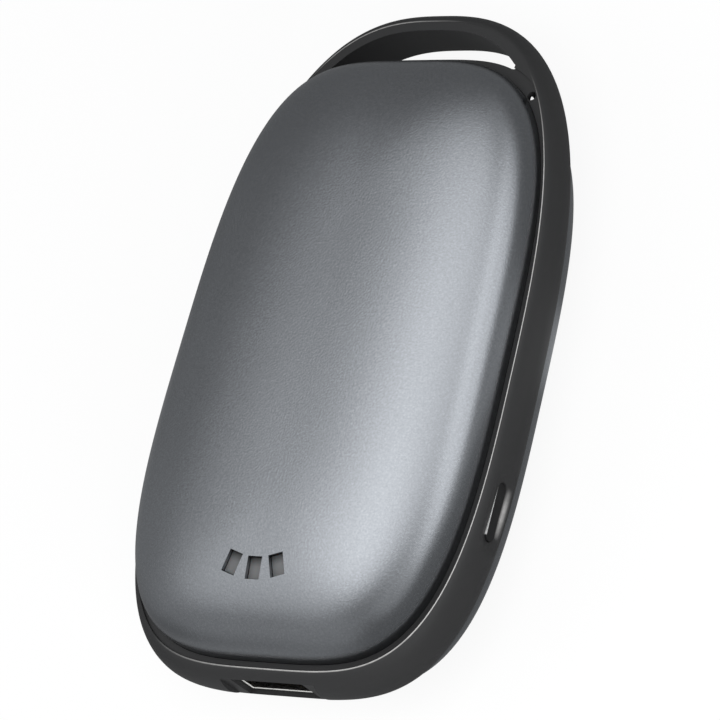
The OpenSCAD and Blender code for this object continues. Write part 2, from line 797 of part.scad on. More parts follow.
// Half of the battery clamp; side is -1 for the tray and 1 for the clamp above it
module battery_half(side) {
    low_z = side < 0 ? -tray_half_h : tray_split / 2;
    high_z = side < 0 ? -tray_split / 2 : tray_half_h;
    ear_low_z = side < 0 ? -ear_t : tray_split / 2;
    ear_high_z = side < 0 ? -tray_split / 2 : ear_t;
    difference() {
        union() {
            intersection() {
                block([-tray_half_w, tray_low_y, low_z], [tray_half_w, tray_high_y, high_z]);
                slab(body_outline(cavity_half_w - tray_side_gap, cavity_half_len - tray_side_gap),
                    low_z - over, high_z + over);
            }
            for (p = ear_places()) {
                translate([p[0], p[1], ear_low_z])
                    cylinder(r = ear_r, h = ear_high_z - ear_low_z, $fn = round_fn);
                block([min(p[0], sign(p[0]) * cell_x * 2), p[1] - ear_r, ear_low_z],
                    [max(p[0], sign(p[0]) * cell_x * 2), p[1] + ear_r, ear_high_z]);
            }
        }
        for (x = [-cell_x, cell_x])
            translate([x, -cells_y - strip_t - cell_gap, 0]) rotate([-90, 0, 0])
                cylinder(r = channel_r, h = cell_len + 2 * (strip_t + cell_gap), $fn = round_fn);
        for (y = [-cells_y - strip_t - cell_gap, -cells_y + cell_len - cap_h])
            block([-strip_half_len - fit_gap, y, -strip_w / 2 - fit_gap],
                [strip_half_len + fit_gap, y + cap_h + strip_t + cell_gap, strip_w / 2 + fit_gap]);
        for (p = ear_places())
            translate([p[0], p[1], -tray_half_h - over])
                cylinder(r = clear_r, h = 2 * (tray_half_h + over), $fn = small_fn);
        notch_half_w = lead_r + lead_notch_gap;
        block([-lead_pair_x - notch_half_w, tray_low_y - over, -tray_half_h - over],
            [-lead_pair_x + notch_half_w, -cells_y, -strip_w / 2 + fit_gap]);
        block([lead_pair_x - notch_half_w, battery_lead_top_y - notch_half_w, -tray_half_h - over],
            [lead_pair_x + notch_half_w, battery_lead_top_y + notch_half_w,
            -strip_w / 2 + fit_gap]);
    }
}

module battery_tray() {
    color([0.86, 0.86, 0.83]) standing() battery_half(-1);
}

module battery_clamp() {
    color([0.86, 0.86, 0.83]) standing() battery_half(1);
}

// Steel can with crimped top and cap, flat end low
module cell(x) {
    standing() translate([x, -cells_y, 0]) rotate([-90, 0, 0])
        rotate_extrude($fn = round_fn) polygon([[0, 0], [cell_r - sleeve_t - crimp_h / 2, 0],
            [cell_r - sleeve_t - fit_gap, crimp_h / 2],
            [cell_r - sleeve_t - fit_gap, can_len - crimp_h], [crimp_r, can_len],
            [cap_r, can_len], [cap_r, cell_len - strip_t], [0, cell_len - strip_t]]);
}

module cell_left() {
    color([0.7, 0.7, 0.72]) cell(-cell_x);
}

module cell_right() {
    color([0.7, 0.7, 0.72]) cell(cell_x);
}

module cell_sleeves() {
    color([0.2, 0.45, 0.35]) standing() for (x = [-cell_x, cell_x])
        translate([x, -cells_y + crimp_h, 0]) rotate([-90, 0, 0]) difference() {
            cylinder(r = cell_r, h = can_len - 2 * crimp_h, $fn = round_fn);
            translate([0, 0, -over])
                cylinder(r = cell_r - sleeve_t, h = can_len + over, $fn = round_fn);
        }
}

module cell_insulators() {
    color([0.9, 0.9, 0.88]) standing() for (x = [-cell_x, cell_x])
        translate([x, -cells_y + can_len, 0]) rotate([-90, 0, 0]) difference() {
            cylinder(r = crimp_r, h = strip_t, $fn = round_fn);
            translate([0, 0, -over])
                cylinder(r = cap_r + fit_gap, h = strip_t + 2 * over, $fn = round_fn);
        }
}

module positive_strip() {
    top_y = -cells_y + cell_len - strip_t;
    color([0.78, 0.77, 0.73]) standing()
        block([-strip_half_len, top_y, -strip_w / 2], [strip_half_len, top_y + strip_t, strip_w / 2]);
}

module negative_strip() {
    color([0.78, 0.77, 0.73]) standing()
        block([-strip_half_len, -cells_y - strip_t, -strip_w / 2],
            [strip_half_len, -cells_y, strip_w / 2]);
}

// Board across the lower end, with tabs that carry the switch and the inlet
module control_board() {
    half_w = cavity_half_w - board_edge_gap;
    half_len = cavity_half_len - board_edge_gap;
    color([0.08, 0.3, 0.16]) standing() difference() {
        union() {
            intersection() {
                slab(body_outline(half_w, half_len), board_low_z, board_top_z);
                block([-half_w * 2, -half_len, board_low_z - over],
                    [half_w * 2, -board_y, board_top_z + over]);
            }
            intersection() {
                slab(body_outline(lining_half_w - fit_gap, lining_half_len - fit_gap),
                    board_low_z - over, board_top_z + over);
                union() {
                    block([tray_half_w + tray_side_gap, switch_tab_low_y, board_low_z],
                        [switch_x + switch_depth, -press_y + switch_tab_high, board_top_z]);
                    block([-inlet_shelf_x + fit_gap, -mouth_y - inlet_w / 2, board_low_z],
                        [-tray_half_w, -mouth_y + inlet_w / 2, board_top_z]);
                }
            }
        }
        for (p = board_boss_places())
            translate([p[0], p[1], board_low_z - over])
                cylinder(r = clear_r, h = board_t + 2 * over, $fn = small_fn);
    }
}

module board_chips() {
    color([0.07, 0.07, 0.08]) standing() for (k = [0:len(chip_sizes) - 1])
        translate([chip_places[k][0], chip_places[k][1] - growth, board_top_z])
            block([-chip_sizes[k][0] / 2, -chip_sizes[k][1] / 2, 0],
                [chip_sizes[k][0] / 2, chip_sizes[k][1] / 2, chip_sizes[k][2]]);
}

module boost_inductor() {
    color([0.16, 0.16, 0.17]) standing()
        translate([inductor_place[0], inductor_place[1] - growth, board_top_z])
        cylinder(r = inductor_r, h = inductor_h, $fn = round_fn);
}

module board_capacitors() {
    color([0.62, 0.5, 0.36]) standing() for (p = capacitor_places)
        translate([p[0], p[1] - growth, board_top_z])
            block([-capacitor_size[0] / 2, -capacitor_size[1] / 2, 0],
                [capacitor_size[0] / 2, capacitor_size[1] / 2, capacitor_size[2]]);
}

// Half sizes of the light guide's plate
function guide_half_w() = window_pitch + window_w / 2 + guide_margin;
function guide_half_len() = window_len / 2 + window_lift + guide_margin / 2;

module light_guide() {
    plate_high_z = -guide_plate_drop;
    plate_low_z = plate_high_z - guide_plate_t;
    color([0.62, 0.6, 0.55]) standing() at_windows() {
        window_bars(guide_gap, plate_low_z, -pane_depth);
        block([-guide_half_w(), -guide_half_len(), plate_low_z],
            [guide_half_w(), guide_half_len(), plate_high_z]);
        for (side = [-1, 1])
            translate([side * (guide_half_w() - guide_leg_w / 2), 0, plate_low_z])
                block([-guide_leg_w / 2, -guide_half_len(), -guide_leg_h],
                    [guide_leg_w / 2, guide_half_len(), 0]);
    }
}

function led_board_top() = -guide_plate_drop - guide_plate_t - guide_leg_h;

module indicator_board() {
    color([0.08, 0.3, 0.16]) standing() at_windows()
        block([-guide_half_w(), -guide_half_len(), led_board_top() - led_board_t],
            [guide_half_w(), guide_half_len(), led_board_top()]);
}

module indicator_leds() {
    color([0.95, 0.93, 0.8]) standing() at_windows() for (k = [-1:1])
        translate([k * window_pitch, 0, led_board_top()])
            block([-led_w / 2, -led_len / 2, 0], [led_w / 2, led_len / 2, led_h]);
}

// Heating film that follows the last rings of a dome's inside up to its crown
module heater(side, crown_share) {
    steps = film_ring_count;
    angles = [for (k = [lining_count - steps:lining_count])
        dome_angle(crown_share) * k / lining_count];
    face = [for (a = angles) dome_ring(a, lining_half_w - film_gap, lining_half_len - film_gap,
        lining_rise - film_gap, lining_inset - film_gap, side)];
    rear = [for (a = angles) dome_ring(a, lining_half_w - film_gap - film_t,
        lining_half_len - film_gap - film_t, lining_rise - film_gap - film_t,
        lining_inset - film_gap - film_t, side)];
    rings = concat([for (k = [steps:-1:0]) rear[k]], face);
    skin(side > 0 ? rings : [for (k = [len(rings) - 1:-1:0]) rings[k]]);
}

// The front film is notched round the light guide
module front_heater() {
    notch_half_w = guide_half_w() + film_notch_gap;
    color([0.75, 0.45, 0.12]) standing() difference() {
        heater(1, front_crown_share);
        block([-notch_half_w, -body_half_len, 0],
            [notch_half_w, -windows_y + guide_half_len() + film_notch_gap, body_rise * 2]);
    }
}

module back_heater() {
    color([0.75, 0.45, 0.12]) standing() heater(-1, back_crown_share);
}

module temperature_sensor() {
    color([0.2, 0.15, 0.1]) standing()
        translate([sensor_x, -sensor_y, film_face_z(sensor_y) - film_seat - sensor_r])
        rotate([-90, 0, 0])
        cylinder(r = sensor_r, h = sensor_len, $fn = small_fn);
}

// Foam between the cells and a film
module foam_pad() {
    color([0.25, 0.25, 0.26])
        block([-pad_half_w, pad_low_y, cell_r + pad_gap], [pad_half_w, pad_high_y, pad_top_z]);
}

module front_foam_pad() {
    standing() foam_pad();
}

module back_foam_pad() {
    standing() mirror([0, 0, 1]) foam_pad();
}

module battery_screws() {
    color([0.6, 0.6, 0.62]) standing() for (p = ear_places())
        translate([p[0], p[1], ear_t]) screw(battery_screw_len);
}

module board_screws() {
    color([0.6, 0.6, 0.62]) standing() for (p = board_boss_places())
        translate([p[0], p[1], board_top_z]) screw(board_screw_len);
}

// Short lead from the lower strip and long one from the upper strip, under the tray
module battery_leads() {
    color([0.7, 0.1, 0.08]) standing() {
        lead([[-lead_pair_x, -cells_y - strip_t, battery_lead_z],
            [-lead_pair_x, battery_lead_end_y, battery_lead_z]]);
        lead([[lead_pair_x, battery_lead_top_y, battery_lead_z + lead_r],
            [lead_pair_x, battery_lead_top_y, battery_lead_low_z],
            [lead_pair_x, battery_lead_turn_y, battery_lead_low_z],
            [lead_pair_x, battery_lead_end_y, battery_lead_z]]);
    }
}

// Height of a film's inner face on the middle line
function film_face_z(y) = dome_z(lining_half_len - film_gap - film_t - y,
    lining_inset - film_gap - film_t, lining_rise - film_gap - film_t);

// A pair of leads from the board to each film
module heater_leads() {
    end_z = film_face_z(heater_lead_y) - film_seat;
    color([0.85, 0.83, 0.8]) standing() for (side = [-1, 1]) {
        lead([[side * lead_pair_x, -heater_lead_y, board_top_z + lead_seat],
            [side * lead_pair_x, -heater_lead_y, end_z]]);
        lead([[side * lead_pair_x, -heater_lead_y, board_low_z - lead_seat],
            [side * lead_pair_x, -heater_lead_y, -end_z]]);
    }
}

// Leads up to the indicator board's tilted underside
module indicator_leads() {
    along = guide_half_len() - 2 * lead_r;
    below = led_board_top() - led_board_t - 3 * lead_seat;
    end_y = -windows_y + along * cos(window_tilt) - below * sin(window_tilt);
    end_z = window_z + along * sin(window_tilt) + below * cos(window_tilt);
    color([0.15, 0.15, 0.5]) standing() for (k = [-1:1])
        lead([[k * indicator_lead_pitch, end_y, board_top_z + lead_seat],
            [k * indicator_lead_pitch, end_y, end_z]]);
}

// Lead from the sensor's lower end down to the board
module sensor_lead() {
    z = film_face_z(sensor_y) - film_seat - sensor_r;
    turn_y = -sensor_y - lead_seat - 2 * lead_r;
    color([0.8, 0.8, 0.3]) standing() lead([[sensor_x, -sensor_y - lead_seat, z],
        [sensor_x, turn_y, z], [sensor_x, turn_y, board_top_z + lead_seat]]);
}

middle_frame();
front_shell();
back_shell();
front_bond_ring();
back_bond_ring();
power_button();
power_switch_body();
power_switch_plunger();
usb_output_shell();
usb_output_tongue();
usb_output_contacts();
charge_inlet_shell();
charge_inlet_tongue();
battery_tray();
battery_clamp();
cell_left();
cell_right();
cell_sleeves();
cell_insulators();
positive_strip();
negative_strip();
control_board();
board_chips();
boost_inductor();
board_capacitors();
indicator_board();
indicator_leds();
light_guide();
front_heater();
back_heater();
temperature_sensor();
front_foam_pad();
back_foam_pad();
battery_screws();
board_screws();
battery_leads();
heater_leads();
indicator_leads();
sensor_lead();
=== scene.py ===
"""Rechargeable hand warmer: looks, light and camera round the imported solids. Metres, +Z up."""

import json
import math

import bmesh
import bpy
import numpy as np
from mathutils import Matrix, Vector


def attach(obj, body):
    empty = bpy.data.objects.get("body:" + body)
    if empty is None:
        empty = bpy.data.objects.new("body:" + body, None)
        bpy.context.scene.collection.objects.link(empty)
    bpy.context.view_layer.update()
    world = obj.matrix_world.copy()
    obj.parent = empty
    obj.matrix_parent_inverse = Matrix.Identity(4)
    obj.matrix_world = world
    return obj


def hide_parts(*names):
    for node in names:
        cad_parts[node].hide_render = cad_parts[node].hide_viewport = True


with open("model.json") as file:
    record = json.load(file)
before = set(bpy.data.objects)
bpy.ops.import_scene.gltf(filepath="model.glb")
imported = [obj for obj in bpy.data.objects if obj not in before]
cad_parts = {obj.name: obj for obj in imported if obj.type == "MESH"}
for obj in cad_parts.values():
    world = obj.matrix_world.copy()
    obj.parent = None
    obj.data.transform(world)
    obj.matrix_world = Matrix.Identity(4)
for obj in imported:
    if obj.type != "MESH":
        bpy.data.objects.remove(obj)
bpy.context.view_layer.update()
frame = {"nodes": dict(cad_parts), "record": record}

MM = 0.001

# Sizes of the solids in millimetres, the fan in degrees. Taper and crown are shares, bends are powers.
RIM_HALF_W = 32.4
RIM_HALF_LEN = 54.7
LOOP_REACH = 62.3
BAND_HALF_DEPTH = 4.8
END_BULGE = 2.6
SIDE_BULGE = 1.4
BACK_DRAW = 0.7
LIP_W = 1.3
TAPER = 0.045
DOME_RISE = 10.7
DOME_INSET = 30.0
SHELL_WALL = 1.0
SHELL_SEAT = 0.8
SIDE_BEND = 3.8
END_BEND = 3.2
LOOP_BEND = 2.7
DOME_BEND = 2.9
BAND_BEND = 1.8
BACK_CROWN = 0.985
LEDGE_W = 2.2
WINDOW_Y = 41.1
WINDOW_W = 2.7
WINDOW_LEN = 3.8
WINDOW_PITCH = 4.3
WINDOW_FAN = 17.0
WINDOW_LIFT = 0.7
LOOP_FACE_W = 1.7
WEB_W = 1.8
WEB_T = 1.6
OPENING_HALF_W = 17.9
OPENING_FLARE = 1.0
LANYARD_R = 0.8
LANYARD_Y = 48.2
HOLE_ROOM_R = 1.2
HOLE_ROOM_H = 3.0
CHANNEL_LOW_Y = LANYARD_Y - 2.7
CHANNEL_STEP = 0.4
BUTTON_Y = 24.1
BUTTON_LEN = 10.0
BUTTON_W = 2.5
BUTTON_GAP = 0.1
DISH_DEPTH = 1.1
DISH_REACH = 3.5
OUTPUT_W = 13.1
OUTPUT_H = 5.7
OUTPUT_GAP = 0.45
OUTPUT_FLAT_W = 18.2
OUTPUT_FLAT_DEPTH = 0.9
OUTPUT_FLAT_TOP_Z = 4.2
INLET_Y = 34.0
INLET_W = 8.94
INLET_H = 3.26

# Bosses, grooves and rooms inside the band, in millimetres
EAR_YS = (-14.0, 24.0)
EAR_INSET = 2.2
EAR_BOSS_R = 2.3
EAR_BOSS_TOP_Z = -1.7
BOARD_T = 1.0
BOARD_SCREW_Y = -43.5
BOARD_SCREW_INSET = 2.6
BOARD_BOSS_R = 2.1
BOARD_BOSS_LOW_Z = -7.0
RIB_REACH = 2.65
RIB_HALF_W = 0.8
PILOT_R = 0.82
PILOT_LOW_Z = -8.0
GROOVE_PLAY = 0.05
GROOVE_REACH = 1.05
GLUE_T = 0.15
LIP_OVER_WEB = 0.3
SLOT_DEPTH = 3.2
BUTTON_ROOM_INSET = 2.2
BUTTON_ROOM_HALF_LEN = 6.3
BUTTON_ROOM_HALF_H = 2.9
SWITCH_ROOM_INSET = 2.35
SWITCH_ROOM_YS = (-32.85, -20.25)
BOARD_PLAY = 0.05
APERTURE_END_Y = -40.0
INLET_INSET = 1.0
INLET_GAP = 0.25
INLET_FUNNEL_W = 1.2
INLET_FUNNEL_DEPTH = 0.05
INLET_MOUTH_END_X = 20.0
INLET_ROOM_INSET = 4.6
INLET_ROOM_PLAY = 0.4
# How far a cutter reaches past what it cuts
PAST = 1.0

# Bead, trough, dish, painted shade and soft edges, in millimetres. Gain and dark are shares, the bend a
# power.
RIM_BEAD_W = 0.15
BEAD_W = 0.09
BEAD_H = 0.06
TROUGH_DEPTH = 0.5
BUTTON_FACE_INSET = 1.0
DISH_GAIN = 1.12
DISH_BEND = 1.6
PANE_SHADE = 1.5
PANE_SHADE_START = 0.1
FOOT_FADE = 3.0
FOOT_DARK = 0.65
CAP_SOFT = 0.2
SOCKET_SOFT = 0.08
PANE_SOFT = 0.06
INLET_SOFT = 0.07

# Counts of points and steps in the skins, the cutters, and a quarter of an outline as it is measured
RING_COUNT = 360
BAND_RING_COUNT = 900
PROFILE_COUNT = 17
DOME_AROUND = 320
DOME_UP = 48
OUTLINE_STEPS = 4001
ROUND_END_COUNT = 48
PILL_COUNT = 24
PILOT_COUNT = 24

# Edges that turn by more than these degrees are shaded hard, bevelled, kept in a copy, and kept hard
# round a flat face
HARD_EDGE = 28.0
SOFT_EDGE = 40.0
COPY_EDGE = 0.5
FLAT_EDGE = 1.5

# Least Z of its normal, up or down, at which a face is flat
FLAT_NORMAL = 0.99999

# Distances in metres below which points count as one
SAME_POINT = 1e-7
MERGED = 2e-6

SHELL_HALF_W = RIM_HALF_W - LIP_W
SHELL_HALF_LEN = RIM_HALF_LEN - LIP_W
MID_Z = BAND_HALF_DEPTH + DOME_RISE * BACK_CROWN
DEEP = BAND_HALF_DEPTH + PAST
BOARD_LOW_Z = -OUTPUT_H / 2 - BOARD_T


def low_end():
    """Lowest place of the band's outline, at the corners of the flat round the output socket."""
    share = OUTPUT_FLAT_W / 2 / (1 + TAPER) / (RIM_HALF_W + SIDE_BULGE)
    return -(RIM_HALF_LEN + END_BULGE) * (1 - share**SIDE_BEND) ** (1 / END_BEND)


MID_Y = -(LOOP_REACH + END_BULGE + low_end()) / 2


def placed(points):
    """Points round the middle of the band, in millimetres, as points of the part in metres."""
    p = np.asarray(points, float).reshape(-1, 3)
    return (p + np.array([0.0, MID_Y, MID_Z])) * MM


# Outlines


def clipped(value):
    return np.clip(value, 0, 1)


def signed_pow(v, power):
    return np.sign(v) * np.abs(v) ** power


def superellipse(angle, half_w, half_len, bend_w, bend_len):
    x = half_w * signed_pow(np.cos(angle), 2 / bend_w)
    y = half_len * signed_pow(np.sin(angle), 2 / bend_len)
    return x * (1 - TAPER * y / RIM_HALF_LEN), y


def body_xy(angle, half_w, half_len):
    return superellipse(angle, half_w, half_len, SIDE_BEND, END_BEND)


def band_xy(angle, extra_w, extra_len):
    ux, uy = superellipse(angle, RIM_HALF_W + extra_w, LOOP_REACH + extra_len, LOOP_BEND, LOOP_BEND)
    lx, ly = body_xy(angle, RIM_HALF_W + extra_w, RIM_HALF_LEN + extra_len)
    upper = angle < math.pi
    return np.where(upper, ux, lx), np.where(upper, uy, ly)


def even_angles(curve, count):
    """Angles at which the points of a closed curve lie evenly along it."""
    eased = math.pi / 4 * (1 - np.cos(np.linspace(0, math.pi, OUTLINE_STEPS)[:-1]))
    fine = np.concatenate([quarter * math.pi / 2 + eased for quarter in range(4)])
    x, y = curve(fine)
    step = np.hypot(np.diff(np.append(x, x[0])), np.diff(np.append(y, y[0])))
    along = np.concatenate([[0], np.cumsum(step)])
    want = np.linspace(0, along[-1], count, endpoint=False)
    return np.interp(want, along, np.append(fine, 2 * math.pi))


def shell_ring(extra):
    """Outline that runs outside the shells' by the given amount."""
    half_w, half_len = SHELL_HALF_W + extra, SHELL_HALF_LEN + extra
    angle = even_angles(lambda a: body_xy(a, half_w, half_len), RING_COUNT)
    return np.stack(body_xy(angle, half_w, half_len), 1)


def band_ring(extra):
    """Outline that runs outside the band's by the given amount."""
    angle = even_angles(lambda a: band_xy(a, extra, extra), RING_COUNT)
    return np.stack(band_xy(angle, extra, extra), 1)


def outline_x(y, half_w, half_len):
    """Half width of a tapered outline at a given place along the body."""
    share = 1 - (abs(y) / half_len) ** END_BEND
    return half_w * share ** (1 / SIDE_BEND) * (1 - TAPER * y / RIM_HALF_LEN)


def band_side_x(y):
    """Half width of the band over its bulge, at a given place along the body."""
    return outline_x(y, RIM_HALF_W + SIDE_BULGE, RIM_HALF_LEN + END_BULGE)


def loop_x(y):
    share = 1 - (y / LOOP_REACH) ** LOOP_BEND
    return RIM_HALF_W * share ** (1 / LOOP_BEND) * (1 - TAPER * y / RIM_HALF_LEN)


def untapered(x):
    return x / (1 - TAPER)


def loop_y(x, extra):
    """Top of the loop's outline, widened by the given amount, at a given place across."""
    share = 1 - (untapered(x) / (RIM_HALF_W + extra)) ** LOOP_BEND
    return (LOOP_REACH + extra) * share ** (1 / LOOP_BEND)


def body_top_y(x, extra):
    """Top of the shells' outline, widened by the given amount, at a given place across."""
    share = 1 - (untapered(x) / (SHELL_HALF_W + extra)) ** SIDE_BEND
    return (SHELL_HALF_LEN + extra) * share ** (1 / END_BEND)


def dome_z(inset):
    """Height of the front dome at a given distance in from its foot."""
    return BAND_HALF_DEPTH + DOME_RISE * (1 - (1 - inset / DOME_INSET) ** DOME_BEND) ** (1 / DOME_BEND)


# Mesh tools


def scene_object(name, data):
    obj = bpy.data.objects.new(name, data)
    bpy.context.scene.collection.objects.link(obj)
    return obj


def mesh_object(name, points, faces):
    mesh = bpy.data.meshes.new(name)
    mesh.from_pydata([tuple(p) for p in points], [], [tuple(f) for f in faces])
    mesh.update()
    return scene_object(name, mesh)


def drop(*objs):
    for o in objs:
        bpy.data.objects.remove(o, do_unlink=True)


def edit_mesh(mesh, change):
    """Runs a change on a mesh by way of a bmesh."""
    bm = bmesh.new()
    bm.from_mesh(mesh)
    change(bm)
    bm.to_mesh(mesh)
    bm.free()


def flatten(obj):
    """Applies the object's modifiers."""
    bpy.context.view_layer.update()
    graph = bpy.context.evaluated_depsgraph_get()
    mesh = bpy.data.meshes.new_from_object(obj.evaluated_get(graph))
    obj.modifiers.clear()
    old = obj.data
    obj.data = mesh
    if old.users == 0:
        bpy.data.meshes.remove(old)
    mesh.name = obj.name


def flat_ring(ring, z):
    """The points of an outline at a given height."""
    return np.column_stack([ring, np.full(len(ring), z)])


def rings_object(name, rings, looped=False):
    """Closed skin over rings of equal count, in millimetres. If looped, the last ring joins the first."""
    n, count = len(rings[0]), len(rings)
    faces = [
        (k * n + i, k * n + (i + 1) % n, (k + 1) % count * n + (i + 1) % n, (k + 1) % count * n + i)
        for k in range(count if looped else count - 1)
        for i in range(n)
    ]
    if not looped:
        faces.append(tuple(range(n - 1, -1, -1)))
        faces.append(tuple((count - 1) * n + i for i in range(n)))
    obj = mesh_object(name, placed(np.concatenate(rings)), faces)
    edit_mesh(obj.data, lambda bm: bmesh.ops.recalc_face_normals(bm, faces=bm.faces))
    return obj


def prism(name, ring, low, high):
    """Upright prism of an outline between two heights, in millimetres."""
    return rings_object(name, [flat_ring(ring, z) for z in (low, high)])


def ring_prism(name, outer, inner, low, high):
    """Prism between two outlines of equal count."""
    corners = ((outer, low), (outer, high), (inner, high), (inner, low))
    return rings_object(name, [flat_ring(ring, z) for ring, z in corners], looped=True)


def box(name, low, high):
    (x0, y0, z0), (x1, y1, z1) = low, high
    return prism(name, [(x0, y0), (x1, y0), (x1, y1), (x0, y1)], z0, z1)


def pill(name, length, width, low_x, high_x, centre):
    """Bar along X with round ends along Y, in millimetres round a centre (y, z)."""
    reach = (length - width) / 2
    outline = []
    for side, start in ((1, -math.pi / 2), (-1, math.pi / 2)):
        for k in range(PILL_COUNT + 1):
            a = start + math.pi * k / PILL_COUNT
            outline.append((side * reach + math.cos(a) * width / 2, math.sin(a) * width / 2))
    rings = [np.array([(x, centre[0] + y, centre[1] + z) for y, z in outline]) for x in (low_x, high_x)]
    return rings_object(name, rings)


def tube(name, r, low, high, place, count=32):
    a = np.linspace(0, 2 * math.pi, count, endpoint=False)
    ring = np.stack([place[0] + r * np.cos(a), place[1] + r * np.sin(a)], 1)
    return prism(name, ring, low, high)


def boolean(obj, other, operation="DIFFERENCE"):
    mod = obj.modifiers.new("cut", "BOOLEAN")
    mod.operation = operation
    mod.solver = "EXACT"
    mod.object = other
    flatten(obj)
    drop(other)


def sharpen(obj):
    """Smooth shading with hard edges at real corners and round every flat face."""
    limit = math.cos(math.radians(HARD_EDGE))
    near = math.cos(math.radians(FLAT_EDGE))

    def change(bm):
        bmesh.ops.remove_doubles(bm, verts=bm.verts, dist=SAME_POINT)
        bmesh.ops.dissolve_degenerate(bm, edges=bm.edges, dist=SAME_POINT)
        torn = [e for e in bm.edges if len(e.link_faces) == 1]
        if torn:
            bmesh.ops.holes_fill(bm, edges=torn, sides=6)
        for f in bm.faces:
            f.smooth = True
        for e in bm.edges:
            if len(e.link_faces) != 2:
                e.smooth = False
                continue
            a, b = (f.normal for f in e.link_faces)
            turn = a.dot(b)
            flat = max(abs(a.z), abs(b.z)) > FLAT_NORMAL
            e.smooth = turn > limit and not (flat and turn < near)

    edit_mesh(obj.data, change)


def joined(name, objs):
    """Several meshes as the islands of one."""
    bm = bmesh.new()
    for o in objs:
        bm.from_mesh(o.data)
    mesh = bpy.data.meshes.new(name)
    bm.to_mesh(mesh)
    bm.free()
    drop(*objs)
    return scene_object(name, mesh)


def copy_of(node, name):
    """A merged copy of a solid's mesh, ready for bevels."""
    mesh = frame["nodes"][node].data.copy()
    mesh.materials.clear()
    obj = scene_object(name, mesh)

    def change(bm):
        bmesh.ops.remove_doubles(bm, verts=bm.verts, dist=MERGED)
        bmesh.ops.dissolve_limit(
            bm, angle_limit=math.radians(COPY_EDGE), verts=bm.verts, edges=bm.edges, delimit={"NORMAL"}
        )

    edit_mesh(mesh, change)
    return obj


def soften(obj, width, segments):
    """Small round edges, in millimetres."""
    mod = obj.modifiers.new("soft edges", "BEVEL")
    mod.width = width * MM
    mod.segments = segments
    mod.limit_method = "ANGLE"
    mod.angle_limit = math.radians(SOFT_EDGE)
    mod.use_clamp_overlap = True
    flatten(obj)
    sharpen(obj)


def score(obj, place, across):
    """Cuts a line of points round a piece, so that painted light and shade end sharply."""

    def change(bm):
        bmesh.ops.bisect_plane(
            bm,
            geom=bm.verts[:] + bm.edges[:] + bm.faces[:],
            dist=SAME_POINT,
            plane_co=placed([place])[0],
            plane_no=across,
        )

    edit_mesh(obj.data, change)


def mark(obj, rule):
    """Writes the attribute rim: how far each point takes the painted light and shade, by a rule of its
    place.
    """
    mesh = obj.data
    co = np.empty(len(mesh.vertices) * 3)
    mesh.vertices.foreach_get("co", co)
    p = co.reshape(-1, 3) / MM - np.array([0.0, MID_Y, MID_Z])
    attribute = mesh.attributes.new("rim", "FLOAT", "POINT")
    attribute.data.foreach_set("value", rule(*p.T).astype(np.float32))


# Shader groups


def add(tree, kind, inputs=(), **values):
    """A new node. Its inputs are constants, or outputs of other nodes, by name or by number."""
    node = tree.nodes.new(kind)
    for key, value in values.items():
        setattr(node, key, value)
    for key, value in dict(inputs).items():
        if isinstance(value, bpy.types.NodeSocket):
            tree.links.new(value, node.inputs[key])
        else:
            node.inputs[key].default_value = value
    return node


def shader_group(name, inputs, outputs):
    tree = bpy.data.node_groups.new(name, "ShaderNodeTree")
    for in_out, sockets in (("INPUT", inputs), ("OUTPUT", outputs)):
        for label, kind in sockets:
            tree.interface.new_socket(label, in_out=in_out, socket_type=kind)
    return tree, add(tree, "NodeGroupInput"), add(tree, "NodeGroupOutput")


FLOAT, COLOUR, VECTOR = "NodeSocketFloat", "NodeSocketColor", "NodeSocketVector"

# Noise: detail and roughness. Painted glints: their share of the grain's scale, near and far edge, strength.
NOISE_DETAIL, GRAIN_NOISE, CLOUD_NOISE = 3.0, 0.75, 0.55
GLINT_SCALE, GLINT_NEAR, GLINT_FAR, GLINT_SHARE = 0.6, 0.05, 0.45, 0.18

# Painted light and shade: scale of the break up, its noise, the span of it that counts, and its strength
PAINTED_BREAK_SCALE, PAINTED_BREAK_DETAIL, PAINTED_BREAK_NOISE = 900.0, 2.0, 0.6
PAINTED_BREAK_LOW, PAINTED_BREAK_HIGH, PAINTED_BREAK_UP = 0.35, 0.65, 0.2

# Every finish: roughness of a coat, depth of scattered light in metres, how bump follows the grain
COAT_ROUGH = 0.15
SCATTER_DEPTH = 0.001
BUMP_GAIN = 10
BUMP_DEPTH = 0.25


def maths(tree, operation, *values, clamp=False):
    return add(tree, "ShaderNodeMath", enumerate(values), operation=operation, use_clamp=clamp).outputs[0]


def calculator(tree):
    """The function that adds a maths node to this tree."""
    return lambda operation, *values, clamp=False: maths(tree, operation, *values, clamp=clamp)


def noise(tree, vector, scale, detail, rough):
    inputs = {"Vector": vector, "Scale": scale, "Detail": detail, "Roughness": rough}
    return add(tree, "ShaderNodeTexNoise", inputs).outputs["Fac"]


def spread(tree, value, low, high, to_low, to_high, curve="LINEAR"):
    inputs = {"Value": value, "From Min": low, "From Max": high, "To Min": to_low, "To Max": to_high}
    return add(tree, "ShaderNodeMapRange", inputs, clamp=True, interpolation_type=curve).outputs["Result"]


